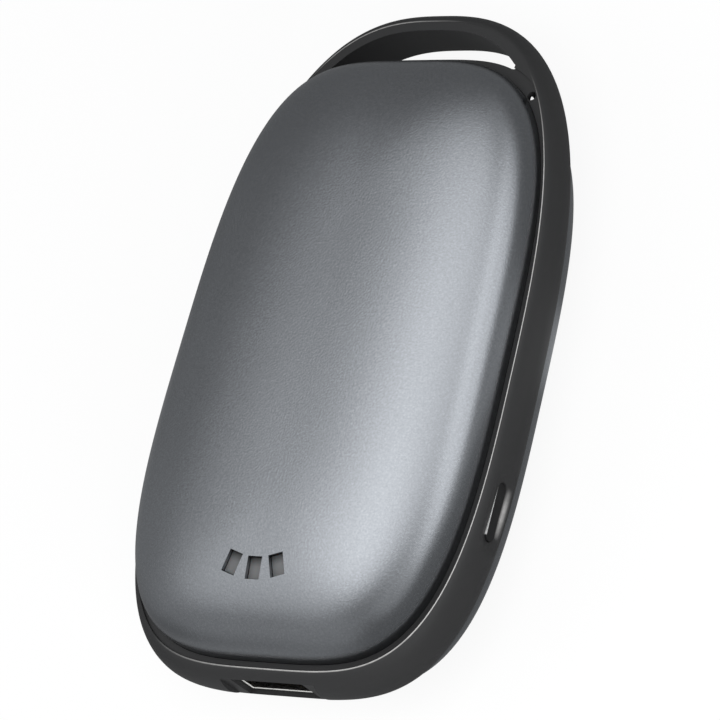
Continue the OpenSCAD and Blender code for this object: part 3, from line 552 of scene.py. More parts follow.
def build_grain():
    """Fine grain of a blasted or spark-eroded face, with painted glints and slow clouds over it."""
    tree, gin, gout = shader_group(
        "fine grain",
        [
            ("Vector", VECTOR),
            ("Colour", COLOUR),
            ("Grain Size", FLOAT),
            ("Grain Strength", FLOAT),
            ("Cloud Size", FLOAT),
            ("Cloud Strength", FLOAT),
            ("Roughness", FLOAT),
            ("Roughness Spread", FLOAT),
        ],
        [("Colour", COLOUR), ("Roughness", FLOAT), ("Height", FLOAT)],
    )
    o, m = gin.outputs, calculator(tree)
    grain_scale = m("DIVIDE", 1.0, o["Grain Size"])
    cloud_scale = m("DIVIDE", 1.0, o["Cloud Size"])
    grain = noise(tree, o["Vector"], grain_scale, NOISE_DETAIL, GRAIN_NOISE)
    cloud = m("SUBTRACT", noise(tree, o["Vector"], cloud_scale, NOISE_DETAIL, CLOUD_NOISE), 0.5)
    inputs = {"Vector": o["Vector"], "Scale": m("MULTIPLY", grain_scale, GLINT_SCALE)}
    sparkle = add(tree, "ShaderNodeTexVoronoi", inputs, feature="F1").outputs["Distance"]
    glint = spread(tree, sparkle, GLINT_NEAR, GLINT_FAR, 1.0, 0.0)
    speck = m("ADD", m("SUBTRACT", grain, 0.5), m("MULTIPLY", glint, GLINT_SHARE))
    shift = m("ADD", m("MULTIPLY", speck, o["Grain Strength"]), m("MULTIPLY", cloud, o["Cloud Strength"]))
    inputs = {0: o["Colour"], "Scale": m("ADD", shift, 1.0)}
    scaled = add(tree, "ShaderNodeVectorMath", inputs, operation="SCALE")
    tree.links.new(scaled.outputs[0], gout.inputs["Colour"])
    rough = m("ADD", m("MULTIPLY", cloud, o["Roughness Spread"]), o["Roughness"], clamp=True)
    tree.links.new(rough, gout.inputs["Roughness"])
    tree.links.new(grain, gout.inputs["Height"])
    return tree


def build_painted_shading():
    """Painted light and shade: a second colour and roughness where an edge mask is high, broken up a little.
    """
    tree, gin, gout = shader_group(
        "painted light and shade",
        [
            ("Vector", VECTOR),
            ("Mask", FLOAT),
            ("Colour", COLOUR),
            ("Painted Shading Colour", COLOUR),
            ("Break Up", FLOAT),
            ("Roughness", FLOAT),
            ("Painted Shading Roughness", FLOAT),
        ],
        [("Colour", COLOUR), ("Roughness", FLOAT), ("Mask", FLOAT)],
    )
    o, m = gin.outputs, calculator(tree)
    uneven = noise(tree, o["Vector"], PAINTED_BREAK_SCALE, PAINTED_BREAK_DETAIL, PAINTED_BREAK_NOISE)
    broken = spread(tree, uneven, PAINTED_BREAK_LOW, PAINTED_BREAK_HIGH, 1.0, 0.0)
    mask = m("MULTIPLY", o["Mask"], m("SUBTRACT", 1.0, m("MULTIPLY", broken, o["Break Up"])), clamp=True)
    tints = {0: mask, 6: o["Colour"], 7: o["Painted Shading Colour"]}
    tint = add(tree, "ShaderNodeMix", tints, data_type="RGBA")
    rough = spread(tree, mask, 0.0, 1.0, o["Roughness"], o["Painted Shading Roughness"])
    for label, value in (("Colour", tint.outputs[2]), ("Roughness", rough), ("Mask", mask)):
        tree.links.new(value, gout.inputs[label])
    return tree


GRAIN = build_grain()
PAINTED_SHADING = build_painted_shading()


def cleared(owner, kind="ShaderNodeOutputMaterial"):
    """The emptied node tree of a material or a world, and the socket that its surface goes to."""
    owner.use_nodes = True
    tree = owner.node_tree
    tree.nodes.clear()
    return tree, add(tree, kind).inputs["Surface"]


def finish_of(
    name,
    colour,
    rough,
    metal=0.0,
    grain_size=0.0003,
    grain=0.15,
    cloud_size=0.01,
    cloud=0.12,
    rough_spread=0.1,
    bump=0.01,
    specular=0.5,
    painted_shading=None,
    painted_shading_rough=0.25,
    painted_shading_metal=False,
    coat=0.0,
    subsurface=0.0,
):
    """A material: grain, a Principled shader, and a second colour, painted light and shade, where the
    attribute rim asks.
    """
    mat = bpy.data.materials.new(name)
    tree, surface = cleared(mat)
    where = add(tree, "ShaderNodeTexCoord").outputs["Object"]
    inputs = {
        "Vector": where,
        "Colour": (*colour, 1),
        "Grain Size": grain_size,
        "Grain Strength": grain,
        "Cloud Size": cloud_size,
        "Cloud Strength": cloud,
        "Roughness": rough,
        "Roughness Spread": rough_spread,
    }
    grained = add(tree, "ShaderNodeGroup", inputs, node_tree=GRAIN)
    look = grained
    if painted_shading:
        inputs = {
            "Vector": where,
            "Mask": add(tree, "ShaderNodeAttribute", attribute_name="rim").outputs["Fac"],
            "Colour": grained.outputs["Colour"],
            "Painted Shading Colour": (*painted_shading, 1),
            "Break Up": PAINTED_BREAK_UP,
            "Roughness": grained.outputs["Roughness"],
            "Painted Shading Roughness": painted_shading_rough,
        }
        look = add(tree, "ShaderNodeGroup", inputs, node_tree=PAINTED_SHADING)
        if metal and not painted_shading_metal:
            metal = maths(tree, "SUBTRACT", metal, look.outputs["Mask"], clamp=True)
    inputs = {
        "Strength": min(1.0, bump * BUMP_GAIN),
        "Distance": grain_size * BUMP_DEPTH,
        "Height": grained.outputs["Height"],
    }
    bumped = add(tree, "ShaderNodeBump", inputs)
    inputs = {
        "Base Color": look.outputs["Colour"],
        "Roughness": look.outputs["Roughness"],
        "Metallic": metal,
        "Specular IOR Level": specular,
        "Coat Weight": coat,
        "Coat Roughness": COAT_ROUGH,
        "Subsurface Weight": subsurface,
        "Subsurface Scale": SCATTER_DEPTH,
        "Normal": bumped.outputs[0],
    }
    tree.links.new(add(tree, "ShaderNodeBsdfPrincipled", inputs).outputs[0], surface)
    return mat


FINISH = {
    # Its second colour is painted shade on the dome's foot, beside the lip.
    "shell_aluminium": finish_of(
        "anodised aluminium", (0.40, 0.415, 0.44), 0.26, metal=1.0, grain_size=0.00035, grain=0.46,
        cloud_size=0.02, cloud=0.08, rough_spread=0.05, bump=0.03, painted_shading=(0.12, 0.124, 0.13),
        painted_shading_rough=0.4, painted_shading_metal=True,
    ),
    # Its second colour is a painted highlight on the bead and on the dish's back wall.
    "band_plastic": finish_of(
        "charcoal band plastic", (0.021, 0.021, 0.0215), 0.46, grain_size=0.00025, grain=0.25,
        cloud_size=0.015, cloud=0.1, bump=0.02, specular=0.4, painted_shading=(0.55, 0.54, 0.53),
    ),
    # Its second colour is a painted highlight on the button's front edge.
    "button_plastic": finish_of(
        "button plastic", (0.007, 0.007, 0.0072), 0.5, grain_size=0.0002, grain=0.2, bump=0.02,
        painted_shading=(0.5, 0.5, 0.5),
    ),
    # Its second colour, matt, is a painted highlight along the socket's front edge.
    "socket_steel": finish_of(
        "nickel plated socket", (0.62, 0.61, 0.59), 0.24, metal=1.0, grain_size=0.0003, grain=0.1, bump=0.01,
        painted_shading=(0.6, 0.6, 0.58), painted_shading_rough=0.4,
    ),
    "socket_plastic": finish_of("socket insulator", (0.012, 0.012, 0.013), 0.42, grain_size=0.0002),
    "contact_gold": finish_of("contact gold", (0.86, 0.6, 0.22), 0.22, metal=1.0, grain_size=0.0001),
    # Its second colour is painted shade at the upper end of each pane.
    "guide_milky": finish_of(
        "milky light guide", (0.12, 0.122, 0.125), 0.42, grain_size=0.0002, grain=0.15, cloud_size=0.003,
        cloud=0.25, bump=0.02, subsurface=0.15, painted_shading=(0.012, 0.012, 0.012), painted_shading_rough=0.6,
    ),
    "glue": finish_of("cured glue", (0.72, 0.7, 0.6), 0.35, grain_size=0.001, cloud=0.2),
    "switch_plastic": finish_of("switch housing", (0.03, 0.03, 0.032), 0.4),
    "plunger_plastic": finish_of("switch plunger", (0.72, 0.7, 0.6), 0.38),
    "tray_plastic": finish_of("tray plastic", (0.7, 0.7, 0.66), 0.5, bump=0.02),
    "cell_steel": finish_of("cell can", (0.6, 0.6, 0.61), 0.26, metal=1.0, grain_size=0.0004),
    "sleeve_film": finish_of("cell sleeve", (0.02, 0.15, 0.1), 0.28, cloud=0.25, coat=0.3),
    "insulator_board": finish_of("fibre insulator", (0.78, 0.77, 0.7), 0.7, grain=0.3, bump=0.04),
    "strip_nickel": finish_of("nickel strip", (0.66, 0.65, 0.6), 0.3, metal=1.0, cloud=0.2),
    "board_green": finish_of("solder mask", (0.01, 0.12, 0.05), 0.3, cloud=0.35, coat=0.4),
    "chip_black": finish_of("chip package", (0.02, 0.02, 0.022), 0.55, grain=0.3, bump=0.03),
    "ferrite": finish_of("pressed ferrite", (0.06, 0.06, 0.063), 0.6, grain=0.35, bump=0.05),
    "ceramic_tan": finish_of("fired ceramic", (0.42, 0.28, 0.15), 0.35, grain=0.2),
    "lamp_resin": finish_of("lamp resin", (0.85, 0.78, 0.5), 0.25, grain=0.1, subsurface=0.2),
    "film_amber": finish_of("amber film", (0.6, 0.25, 0.03), 0.22, cloud=0.3, coat=0.5),
    "bead_brown": finish_of("dipped bead", (0.08, 0.05, 0.03), 0.2, coat=0.4),
    "foam_grey": finish_of("open foam", (0.13, 0.13, 0.14), 0.9, grain_size=0.0006, grain=0.7, bump=0.1),
    "screw_steel": finish_of("zinc plated screws", (0.55, 0.56, 0.58), 0.3, metal=1.0, cloud=0.25),
    "lead_red": finish_of("red insulation", (0.5, 0.02, 0.015), 0.45, grain_size=0.0005),
    "lead_white": finish_of("white insulation", (0.75, 0.73, 0.68), 0.45, grain_size=0.0005),
    "lead_blue": finish_of("blue insulation", (0.03, 0.05, 0.35), 0.45, grain_size=0.0005),
    "lead_yellow": finish_of("yellow insulation", (0.7, 0.6, 0.08), 0.45, grain_size=0.0005),
}


def dress(obj, slot):
    obj.data.materials.clear()
    obj.data.materials.append(FINISH[slot])
    for p in obj.data.polygons:
        p.material_index = 0


def stands_for(obj, node, slot, body="housing"):
    """A finished piece that takes a solid's place."""
    dress(obj, slot)
    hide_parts(node)
    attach(obj, body)


# The domes


# How far the seam that closes the crown stops short of the row below it at either end, in metres
CROWN_SEAM = 0.006


def build_dome_tree():
    """A dome's outer skin: an outline that draws in along a superellipse as it climbs."""
    tree = bpy.data.node_groups.new("dome skin", "GeometryNodeTree")
    face = tree.interface
    labels = (
        "Half Width",
        "Half Length",
        "Rise",
        "Inset",
        "Foot",
        "Side Bend",
        "End Bend",
        "Dome Bend",
        "Taper per Metre",
        "Crown Angle",
        "Facing",
        "Middle Y",
        "Edge Z",
    )
    for label in labels:
        face.new_socket(label, in_out="INPUT", socket_type=FLOAT)
    for label in ("Around", "Up"):
        face.new_socket(label, in_out="INPUT", socket_type="NodeSocketInt")
    face.new_socket("Finish", in_out="INPUT", socket_type="NodeSocketMaterial")
    face.new_socket("Geometry", in_out="OUTPUT", socket_type="NodeSocketGeometry")
    o = add(tree, "NodeGroupInput").outputs
    m = calculator(tree)

    def signed(value, power):
        return m("MULTIPLY", m("SIGN", value), m("POWER", m("ABSOLUTE", value), power))

    inputs = {
        "Size X": 1.0,
        "Size Y": 1.0,
        "Vertices X": m("ADD", o["Around"], 1.0),
        "Vertices Y": m("ADD", o["Up"], 1.0),
    }
    grid = add(tree, "GeometryNodeMeshGrid", inputs)
    place = add(tree, "GeometryNodeInputPosition").outputs[0]
    split = add(tree, "ShaderNodeSeparateXYZ", {0: place}).outputs
    turn = m("MULTIPLY", m("ADD", split["X"], 0.5), 2 * math.pi)
    quarter = m("MULTIPLY", m("FLOOR", m("DIVIDE", m("ADD", turn, 1e-5), math.pi / 2)), math.pi / 2)
    inside = m("MULTIPLY", m("SUBTRACT", turn, quarter), 2.0)
    angle = m("ADD", quarter, m("MULTIPLY", m("SUBTRACT", 1.0, m("COSINE", inside)), math.pi / 4))
    # rows: the lowest is the foot's lower edge, the highest closes the crown
    row = m("ROUND", m("MULTIPLY", m("ADD", split["Y"], 0.5), o["Up"]))
    climb = m("DIVIDE", m("MAXIMUM", m("SUBTRACT", row, 1.0), 0.0), m("SUBTRACT", o["Up"], 2.0))
    climb = m("MINIMUM", climb, 1.0)
    eased = m("MULTIPLY", m("SUBTRACT", 1.0, m("COSINE", m("MULTIPLY", climb, math.pi))), 0.5)
    steep = m("MULTIPLY", eased, m("RADIANS", o["Crown Angle"]))
    power = m("DIVIDE", 2.0, o["Dome Bend"])
    cosine = m("MAXIMUM", m("COSINE", steep), 0.0)
    drawn = m("MULTIPLY", o["Inset"], m("SUBTRACT", 1.0, m("POWER", cosine, power)))
    height = m("MULTIPLY", o["Rise"], m("POWER", m("MAXIMUM", m("SINE", steep), 0.0), power))
    top_row = m("GREATER_THAN", row, m("SUBTRACT", o["Up"], 0.5))
    foot_row = m("LESS_THAN", row, 0.5)
    width = m("MULTIPLY", m("SUBTRACT", o["Half Width"], drawn), m("SUBTRACT", 1.0, top_row))
    length = m("SUBTRACT", m("SUBTRACT", o["Half Length"], drawn), m("MULTIPLY", top_row, CROWN_SEAM))
    y = m("MULTIPLY", length, signed(m("SINE", angle), m("DIVIDE", 2.0, o["End Bend"])))
    narrowed = m("SUBTRACT", 1.0, m("MULTIPLY", y, o["Taper per Metre"]))
    x = m("MULTIPLY", width, signed(m("COSINE", angle), m("DIVIDE", 2.0, o["Side Bend"])))
    x = m("MULTIPLY", x, narrowed)
    z = m("SUBTRACT", height, m("MULTIPLY", foot_row, o["Foot"]))
    z = m("ADD", m("MULTIPLY", z, o["Facing"]), o["Edge Z"])
    target = add(tree, "ShaderNodeCombineXYZ", {"X": x, "Y": m("ADD", y, o["Middle Y"]), "Z": z})
    inputs = {"Geometry": grid.outputs["Mesh"], "Position": target.outputs[0]}
    move = add(tree, "GeometryNodeSetPosition", inputs)
    inputs = {"Geometry": move.outputs[0], "Distance": MERGED}
    merge = add(tree, "GeometryNodeMergeByDistance", inputs)
    real = add(tree, "GeometryNodeRealizeInstances", {0: merge.outputs[0]})
    inputs = {"Geometry": real.outputs[0], "Material": o["Finish"]}
    paint = add(tree, "GeometryNodeSetMaterial", inputs)
    add(tree, "NodeGroupOutput", {"Geometry": paint.outputs[0]})
    return tree


def set_inputs(mod, values):
    """Sets a modifier's inputs by the identifiers of the tree's named sockets."""
    for item in mod.node_group.interface.items_tree:
        if item.item_type == "SOCKET" and item.in_out == "INPUT" and item.name in values:
            mod[item.identifier] = values[item.name]


DOME_TREE = build_dome_tree()


def dome(name, facing, crown_share):
    """A shell: the skin made by the tree, then given its wall."""
    obj = mesh_object(name, [(0, 0, 0)], [])
    mod = obj.modifiers.new("skin", "NODES")
    mod.node_group = DOME_TREE
    crown = math.degrees(math.asin(min(1.0, crown_share ** (DOME_BEND / 2))))
    set_inputs(
        mod,
        {
            "Half Width": SHELL_HALF_W * MM,
            "Half Length": SHELL_HALF_LEN * MM,
            "Rise": DOME_RISE * MM,
            "Inset": DOME_INSET * MM,
            "Foot": SHELL_SEAT * MM,
            "Side Bend": SIDE_BEND,
            "End Bend": END_BEND,
            "Dome Bend": DOME_BEND,
            "Taper per Metre": TAPER / (RIM_HALF_LEN * MM),
            "Crown Angle": crown,
            "Facing": float(facing),
            "Middle Y": MID_Y * MM,
            "Edge Z": (MID_Z + facing * BAND_HALF_DEPTH) * MM,
            "Around": DOME_AROUND,
            "Up": DOME_UP,
            "Finish": FINISH["shell_aluminium"],
        },
    )
    flatten(obj)

    def turn_out(bm):
        bmesh.ops.recalc_face_normals(bm, faces=bm.faces)
        top = max(bm.faces, key=lambda f: facing * f.calc_center_median().z)
        if top.normal.z * facing < 0:
            bmesh.ops.reverse_faces(bm, faces=bm.faces)

    edit_mesh(obj.data, turn_out)
    wall = obj.modifiers.new("wall", "SOLIDIFY")
    wall.thickness = SHELL_WALL * MM
    wall.offset = -1
    wall.use_even_offset = True
    flatten(obj)
    return obj


def painted_foot_shade(x, y, z):
    """Painted shade on the dome's foot, for the shade of the lip beside it."""
    return FOOT_DARK * clipped(1 - (z - BAND_HALF_DEPTH) / FOOT_FADE) ** 2


def window_cutter():
    """Three bars, fanned out and square to the dome, that cut its slots."""
    inset = SHELL_HALF_LEN - WINDOW_Y
    rise = dome_z(inset + WINDOW_LEN) - dome_z(inset - WINDOW_LEN)
    tilt = math.atan(rise / (2 * WINDOW_LEN))
    bars = []
    for k in (-1, 0, 1):
        w, h = WINDOW_W / 2, WINDOW_LEN / 2
        corners = [(-w, -h), (w, -h), (w, h), (-w, h)]
        turn = math.radians(k * WINDOW_FAN)
        rings = []
        for z in (-2 * SHELL_WALL - PAST, SHELL_WALL + PAST):
            ring = []
            for x, y in corners:
                x1 = x * math.cos(turn) - y * math.sin(turn) + k * WINDOW_PITCH
                y1 = x * math.sin(turn) + y * math.cos(turn) + abs(k) * WINDOW_LIFT
                y2 = y1 * math.cos(tilt) - z * math.sin(tilt)
                z2 = y1 * math.sin(tilt) + z * math.cos(tilt)
                ring.append((x1, y2 - WINDOW_Y, z2 + dome_z(inset)))
            rings.append(np.array(ring))
        bars.append(rings_object(f"bar{k}", rings))
    return joined("bars", bars)


front = dome("front_dome", 1, 1.0)
boolean(front, window_cutter())
sharpen(front)
# Painted shade on the dome's foot
mark(front, painted_foot_shade)
stands_for(front, "front_shell", "shell_aluminium")

back = dome("back_dome", -1, BACK_CROWN)
sharpen(back)
stands_for(back, "back_shell", "shell_aluminium")

# The band with its loop


def band_rings():
    """Rings of the band's bulge from its back edge to its front edge, dished at the button."""
    angle = even_angles(lambda a: band_xy(a, SIDE_BULGE / 2, END_BULGE / 2), BAND_RING_COUNT)
    half = np.sin(np.linspace(0, math.pi / 2, PROFILE_COUNT))
    shares = np.concatenate([-half[:0:-1], half])
    rings = []
    for share in shares:
        bulge = (1 - abs(share) ** BAND_BEND) ** (1 / BAND_BEND)
        drawn = BACK_DRAW * min(share, 0.0) ** 2
        x, y = band_xy(angle, SIDE_BULGE * bulge - drawn, END_BULGE * bulge)
        z = np.full(len(x), share * BAND_HALF_DEPTH)
        along = np.maximum(np.abs(y + BUTTON_Y) - (BUTTON_LEN - BUTTON_W) / 2, 0)
        away = np.hypot(along, z) / DISH_REACH
        soft = clipped(1 - away**2) ** DISH_BEND
        x = x - np.where(x > 0, DISH_DEPTH * DISH_GAIN * soft, 0)
        rings.append(np.column_stack([x, y, z]))
    return rings


def inner_x(y):
    """Half width of the band's hollow at a given place along the body."""
    return outline_x(y, SHELL_HALF_W - LEDGE_W, SHELL_HALF_LEN - LEDGE_W)


def ear_places():
    return [(s * (inner_x(y) - EAR_INSET), y) for s in (-1, 1) for y in EAR_YS]


def board_places():
    return [(s * (inner_x(BOARD_SCREW_Y) - BOARD_SCREW_INSET), BOARD_SCREW_Y) for s in (-1, 1)]


def opening_in(z):
    """How far the opening's outer side lies inside the band's edge at a given height."""
    return LOOP_FACE_W - OPENING_FLARE * (BAND_HALF_DEPTH - z) / (2 * BAND_HALF_DEPTH)


def opening_mid_y(x, z):
    """Middle of the opening between the web and the loop, at a given height."""
    return (body_top_y(x, WEB_W) + loop_y(x, -opening_in(z))) / 2


def opening_lean(z):
    """Slope of the opening at its ends, at a given height."""
    outer, inner = (opening_mid_y(OPENING_HALF_W + s * WEB_W / 2, z) for s in (1, -1))
    return (outer - inner) / WEB_W


def opening_reach(z):
    """Corners of the part of the opening between its two round ends."""
    mid_y = opening_mid_y(OPENING_HALF_W, z)
    corners = ((-1, mid_y - WEB_W), (1, mid_y - WEB_W), (1, LOOP_REACH), (-1, LOOP_REACH))
    lean = opening_lean(z)
    return np.array([(side * (OPENING_HALF_W - lean * (y - mid_y)), y, z) for side, y in corners])


def opening_end(side, z):
    """Round end of the opening at a given height."""
    turn = np.linspace(0, 2 * math.pi, ROUND_END_COUNT, endpoint=False) + math.pi / ROUND_END_COUNT
    mid_y = opening_mid_y(OPENING_HALF_W, z)
    r = (mid_y - body_top_y(OPENING_HALF_W, WEB_W)) / math.hypot(1, opening_lean(z))
    ring = np.column_stack([side * OPENING_HALF_W + r * np.cos(turn), mid_y + r * np.sin(turn)])
    return flat_ring(ring, z)


def cut_frame(band):
    """Bosses for the screws of the cells' clamps and of the board, and the grooves of the shells."""
    boolean(band, prism("cavity", shell_ring(-LEDGE_W), -DEEP, DEEP))
    for place in ear_places():
        boolean(band, tube("ear boss", EAR_BOSS_R, -BAND_HALF_DEPTH, EAR_BOSS_TOP_Z, place), "UNION")
    for x, y in board_places():
        boss = tube("board boss", BOARD_BOSS_R, BOARD_BOSS_LOW_Z, BOARD_LOW_Z, (x, y))
        boolean(band, boss, "UNION")
        wall_x = x + math.copysign(RIB_REACH, x)
        low = (min(x, wall_x), y - RIB_HALF_W, -BAND_HALF_DEPTH)
        boolean(band, box("board rib", low, (max(x, wall_x), y + RIB_HALF_W, BOARD_LOW_Z)), "UNION")
    groove = shell_ring(GROOVE_PLAY), shell_ring(-GROOVE_REACH)
    seat = BAND_HALF_DEPTH - SHELL_SEAT - GLUE_T
    boolean(band, ring_prism("front groove", *groove, seat, DEEP))
    boolean(band, ring_prism("back groove", *groove, -DEEP, -seat))


def cut_lip(band):
    """The front lip lies lower than the rim, so that a narrow bead runs round the edge."""
    trough = prism("trough", band_ring(-RIM_BEAD_W), BAND_HALF_DEPTH - TROUGH_DEPTH, DEEP)
    boolean(band, prism("bead", band_ring(-BEAD_W), BAND_HALF_DEPTH - BEAD_H, DEEP))
    reach = prism("web reach", shell_ring(WEB_W + LIP_OVER_WEB), -DEEP, DEEP + PAST)
    boolean(trough, reach, "INTERSECT")
    boolean(band, trough)


def cut_loop(band):
    """The loop's opening, the channel behind the web and the lanyard hole."""
    low, high = -DEEP - PAST, DEEP + PAST
    rings = [flat_ring(band_ring(-opening_in(z)), z) for z in (-DEEP, DEEP)]
    opening = rings_object("opening", rings)
    boolean(opening, prism("web", shell_ring(WEB_W), low, high))
    boolean(opening, rings_object("reach", [opening_reach(z) for z in (low, high)]), "INTERSECT")
    for side in (-1, 1):
        end = rings_object("round end", [opening_end(side, z) for z in (-DEEP, DEEP)])
        boolean(opening, end, "UNION")
    boolean(band, opening)
    web_z = BAND_HALF_DEPTH - WEB_T
    channel = prism("channel", band_ring(-LOOP_FACE_W), -DEEP, web_z)
    boolean(channel, prism("step", shell_ring(-CHANNEL_STEP), low, DEEP))
    top = box("top", (-RIM_HALF_W, CHANNEL_LOW_Y, low), (RIM_HALF_W, LOOP_REACH, DEEP))
    boolean(channel, top, "INTERSECT")
    boolean(band, channel)
    hole_x = (outline_x(LANYARD_Y, SHELL_HALF_W, SHELL_HALF_LEN) + loop_x(LANYARD_Y)) / 2
    place = (hole_x, LANYARD_Y)
    boolean(band, tube("lanyard hole", LANYARD_R, web_z - PAST, DEEP, place))
    boolean(band, tube("hole room", HOLE_ROOM_R, web_z - HOLE_ROOM_H, web_z, place))


def cut_rooms(band):
    """Slot of the button, mouths of the sockets, the rooms behind them and the screw holes."""
    button_x = band_side_x(-BUTTON_Y)
    slot = (BUTTON_LEN + 2 * BUTTON_GAP, BUTTON_W + 2 * BUTTON_GAP)
    slot_x = (button_x - DISH_DEPTH - SLOT_DEPTH, button_x + PAST)
    boolean(band, pill("slot", *slot, *slot_x, (-BUTTON_Y, 0)))
    wall_x = button_x - DISH_DEPTH - BUTTON_ROOM_INSET
    low = (0, -BUTTON_Y - BUTTON_ROOM_HALF_LEN, -BUTTON_ROOM_HALF_H)
    high = (wall_x, -BUTTON_Y + BUTTON_ROOM_HALF_LEN, BUTTON_ROOM_HALF_H)
    boolean(band, box("button room", low, high))
    low = (0, SWITCH_ROOM_YS[0], BOARD_LOW_Z - BOARD_PLAY)
    boolean(band, box("switch room", low, (wall_x - SWITCH_ROOM_INSET, SWITCH_ROOM_YS[1], 0)))
    low_y = -(RIM_HALF_LEN + END_BULGE)
    half_w, half_h = OUTPUT_W / 2 + OUTPUT_GAP, OUTPUT_H / 2 + OUTPUT_GAP
    low = (-half_w, low_y - PAST, -half_h)
    boolean(band, box("aperture", low, (half_w, APERTURE_END_Y, half_h)))
    low = (-OUTPUT_FLAT_W / 2, low_y - PAST, -BAND_HALF_DEPTH - PAST)
    high = (OUTPUT_FLAT_W / 2, low_y + OUTPUT_FLAT_DEPTH, OUTPUT_FLAT_TOP_Z)
    boolean(band, box("flat", low, high))
    inlet_x = band_side_x(-INLET_Y) - INLET_INSET
    inlet_z = -OUTPUT_H / 2 + INLET_H / 2
    funnel_x = inlet_x - INLET_FUNNEL_DEPTH
    for grow, inner in ((INLET_GAP, INLET_MOUTH_END_X), (INLET_FUNNEL_W, funnel_x)):
        mouth = (INLET_W + 2 * grow, INLET_H + 2 * grow)
        boolean(band, pill("inlet", *mouth, -inlet_x - 2 * PAST, -inner, (-INLET_Y, inlet_z)))
    half_w = INLET_W / 2
    low = (INLET_ROOM_INSET - inlet_x, -INLET_Y - half_w - INLET_ROOM_PLAY, BOARD_LOW_Z - BOARD_PLAY)
    high = (0, -INLET_Y + half_w + INLET_ROOM_PLAY, inlet_z + INLET_H / 2 + INLET_ROOM_PLAY)
    boolean(band, box("inlet room", low, high))
    for place in ear_places() + board_places():
        boolean(band, tube("pilot hole", PILOT_R, PILOT_LOW_Z, 0, place, PILOT_COUNT))


def carry_band():
    band = rings_object("carry_band", band_rings())
    cut_frame(band)
    cut_lip(band)
    cut_loop(band)
    cut_rooms(band)
    return band


# Where the bead, the dish's back wall, the button's edge and the socket's edge get a painted highlight:
# lengths in millimetres, shares of 1
BEAD_TOP = 0.012
SIDE_END_Y, SIDE_FADE = 52.0, 20.0
LEFT_LEAN, LEFT_START, LEFT_FADE = 0.55, 5.0, 24.0
LOW_END_Y, LOW_SHARE = -48.0, 0.75
TOP_FADE_Y, TOP_END_X, TOP_FADE_X, TOP_SHARE = 4.0, 6.0, 12.0, 0.5
DISH_SHIFT, DISH_HALF_LEN, DISH_Z, DISH_H, DISH_SHARE = 0.4, 4.4, -1.95, 0.5, 0.55
DISH_MIN_X = 20.0
CAP_EDGE_Z, CAP_EDGE_X = 0.1, 0.16
SOCKET_EDGE, SOCKET_SCORE = 0.1, 0.15


def band_painted_highlight(x, y, z):
    """Painted highlight on the bead round the front edge, and on the back wall of the button's dish."""
    left = clipped((x - y * LEFT_LEAN - LEFT_START) / LEFT_FADE)
    side = clipped((SIDE_END_Y - y) / SIDE_FADE) * np.where(x > 0, 1.0, left)
    side = side * np.where(y < LOW_END_Y, LOW_SHARE, 1.0)
    top = clipped((y - SIDE_END_Y) / TOP_FADE_Y) * clipped((TOP_END_X - x) / TOP_FADE_X) * TOP_SHARE
    along = clipped(1 - ((y + BUTTON_Y - DISH_SHIFT) / DISH_HALF_LEN) ** 2)
    dish = DISH_SHARE * along * np.exp(-(((z - DISH_Z) / DISH_H) ** 2)) * (x > DISH_MIN_X)
    return np.where(z > BAND_HALF_DEPTH - BEAD_TOP, np.maximum(side, top), dish)


def cap_painted_highlight(x, y, z):
    """Painted highlight on the button's edge toward the front."""
    face_x = band_side_x(-BUTTON_Y) - BUTTON_FACE_INSET
    return np.where((z > BUTTON_W / 2 - CAP_EDGE_Z) & (x > face_x - CAP_EDGE_X), 1.0, 0.0)


def socket_painted_highlight(x, y, z):
    """Painted highlight: a light matt line along the front edge of the socket's sheet."""
    return np.where(y < y.min() + SOCKET_EDGE, 1.0, 0.0)


def pane_shade(x, y, z):
    """The upper end of each pane, where the slot's wall keeps the light off."""
    k = np.round(x / WINDOW_PITCH)
    turn = np.radians(k * WINDOW_FAN)
    up, side = y + WINDOW_Y - np.abs(k) * WINDOW_LIFT, x - k * WINDOW_PITCH
    along = up * np.cos(turn) - side * np.sin(turn)
    return clipped((along - WINDOW_LEN / 2 + PANE_SHADE + PANE_SHADE_START) / PANE_SHADE)


band = carry_band()
sharpen(band)
# Painted highlight on the bead and in the button's dish
mark(band, band_painted_highlight)
stands_for(band, "middle_frame", "band_plastic")

# Button and sockets

cap = copy_of("power_button", "button_cap")
soften(cap, CAP_SOFT, 3)
# Painted highlight on the button's front edge
mark(cap, cap_painted_highlight)
stands_for(cap, "power_button", "button_plastic", "button")

socket = copy_of("usb_output_shell", "output_socket_shell")
soften(socket, SOCKET_SOFT, 2)
socket_y = min(v.co.y for v in socket.data.vertices) / MM - MID_Y
score(socket, (0, socket_y + SOCKET_SCORE, 0), (0, 1, 0))
# Painted highlight along the socket's front edge
mark(socket, socket_painted_highlight)
stands_for(socket, "usb_output_shell", "socket_steel")

guide = copy_of("light_guide", "window_panes")
soften(guide, PANE_SOFT, 2)
for k in (-1, 0, 1):
    turn = math.radians(k * WINDOW_FAN)
    up = (-math.sin(turn), math.cos(turn), 0)
    top = WINDOW_LEN / 2 - PANE_SHADE
    place = (k * WINDOW_PITCH + up[0] * top, abs(k) * WINDOW_LIFT - WINDOW_Y + up[1] * top, 0)
    score(guide, place, up)
# Painted shade at the upper end of each pane
mark(guide, pane_shade)
stands_for(guide, "light_guide", "guide_milky")

inlet = copy_of("charge_inlet_shell", "charge_inlet_rim")
soften(inlet, INLET_SOFT, 2)
stands_for(inlet, "charge_inlet_shell", "socket_steel")

# Finishes of the other solids

for row in frame["record"]["subparts"]:
    node = frame["nodes"][row["node"]]
    if not node.hide_render:
        dress(node, row["material_slot"])

# Floor, light and camera

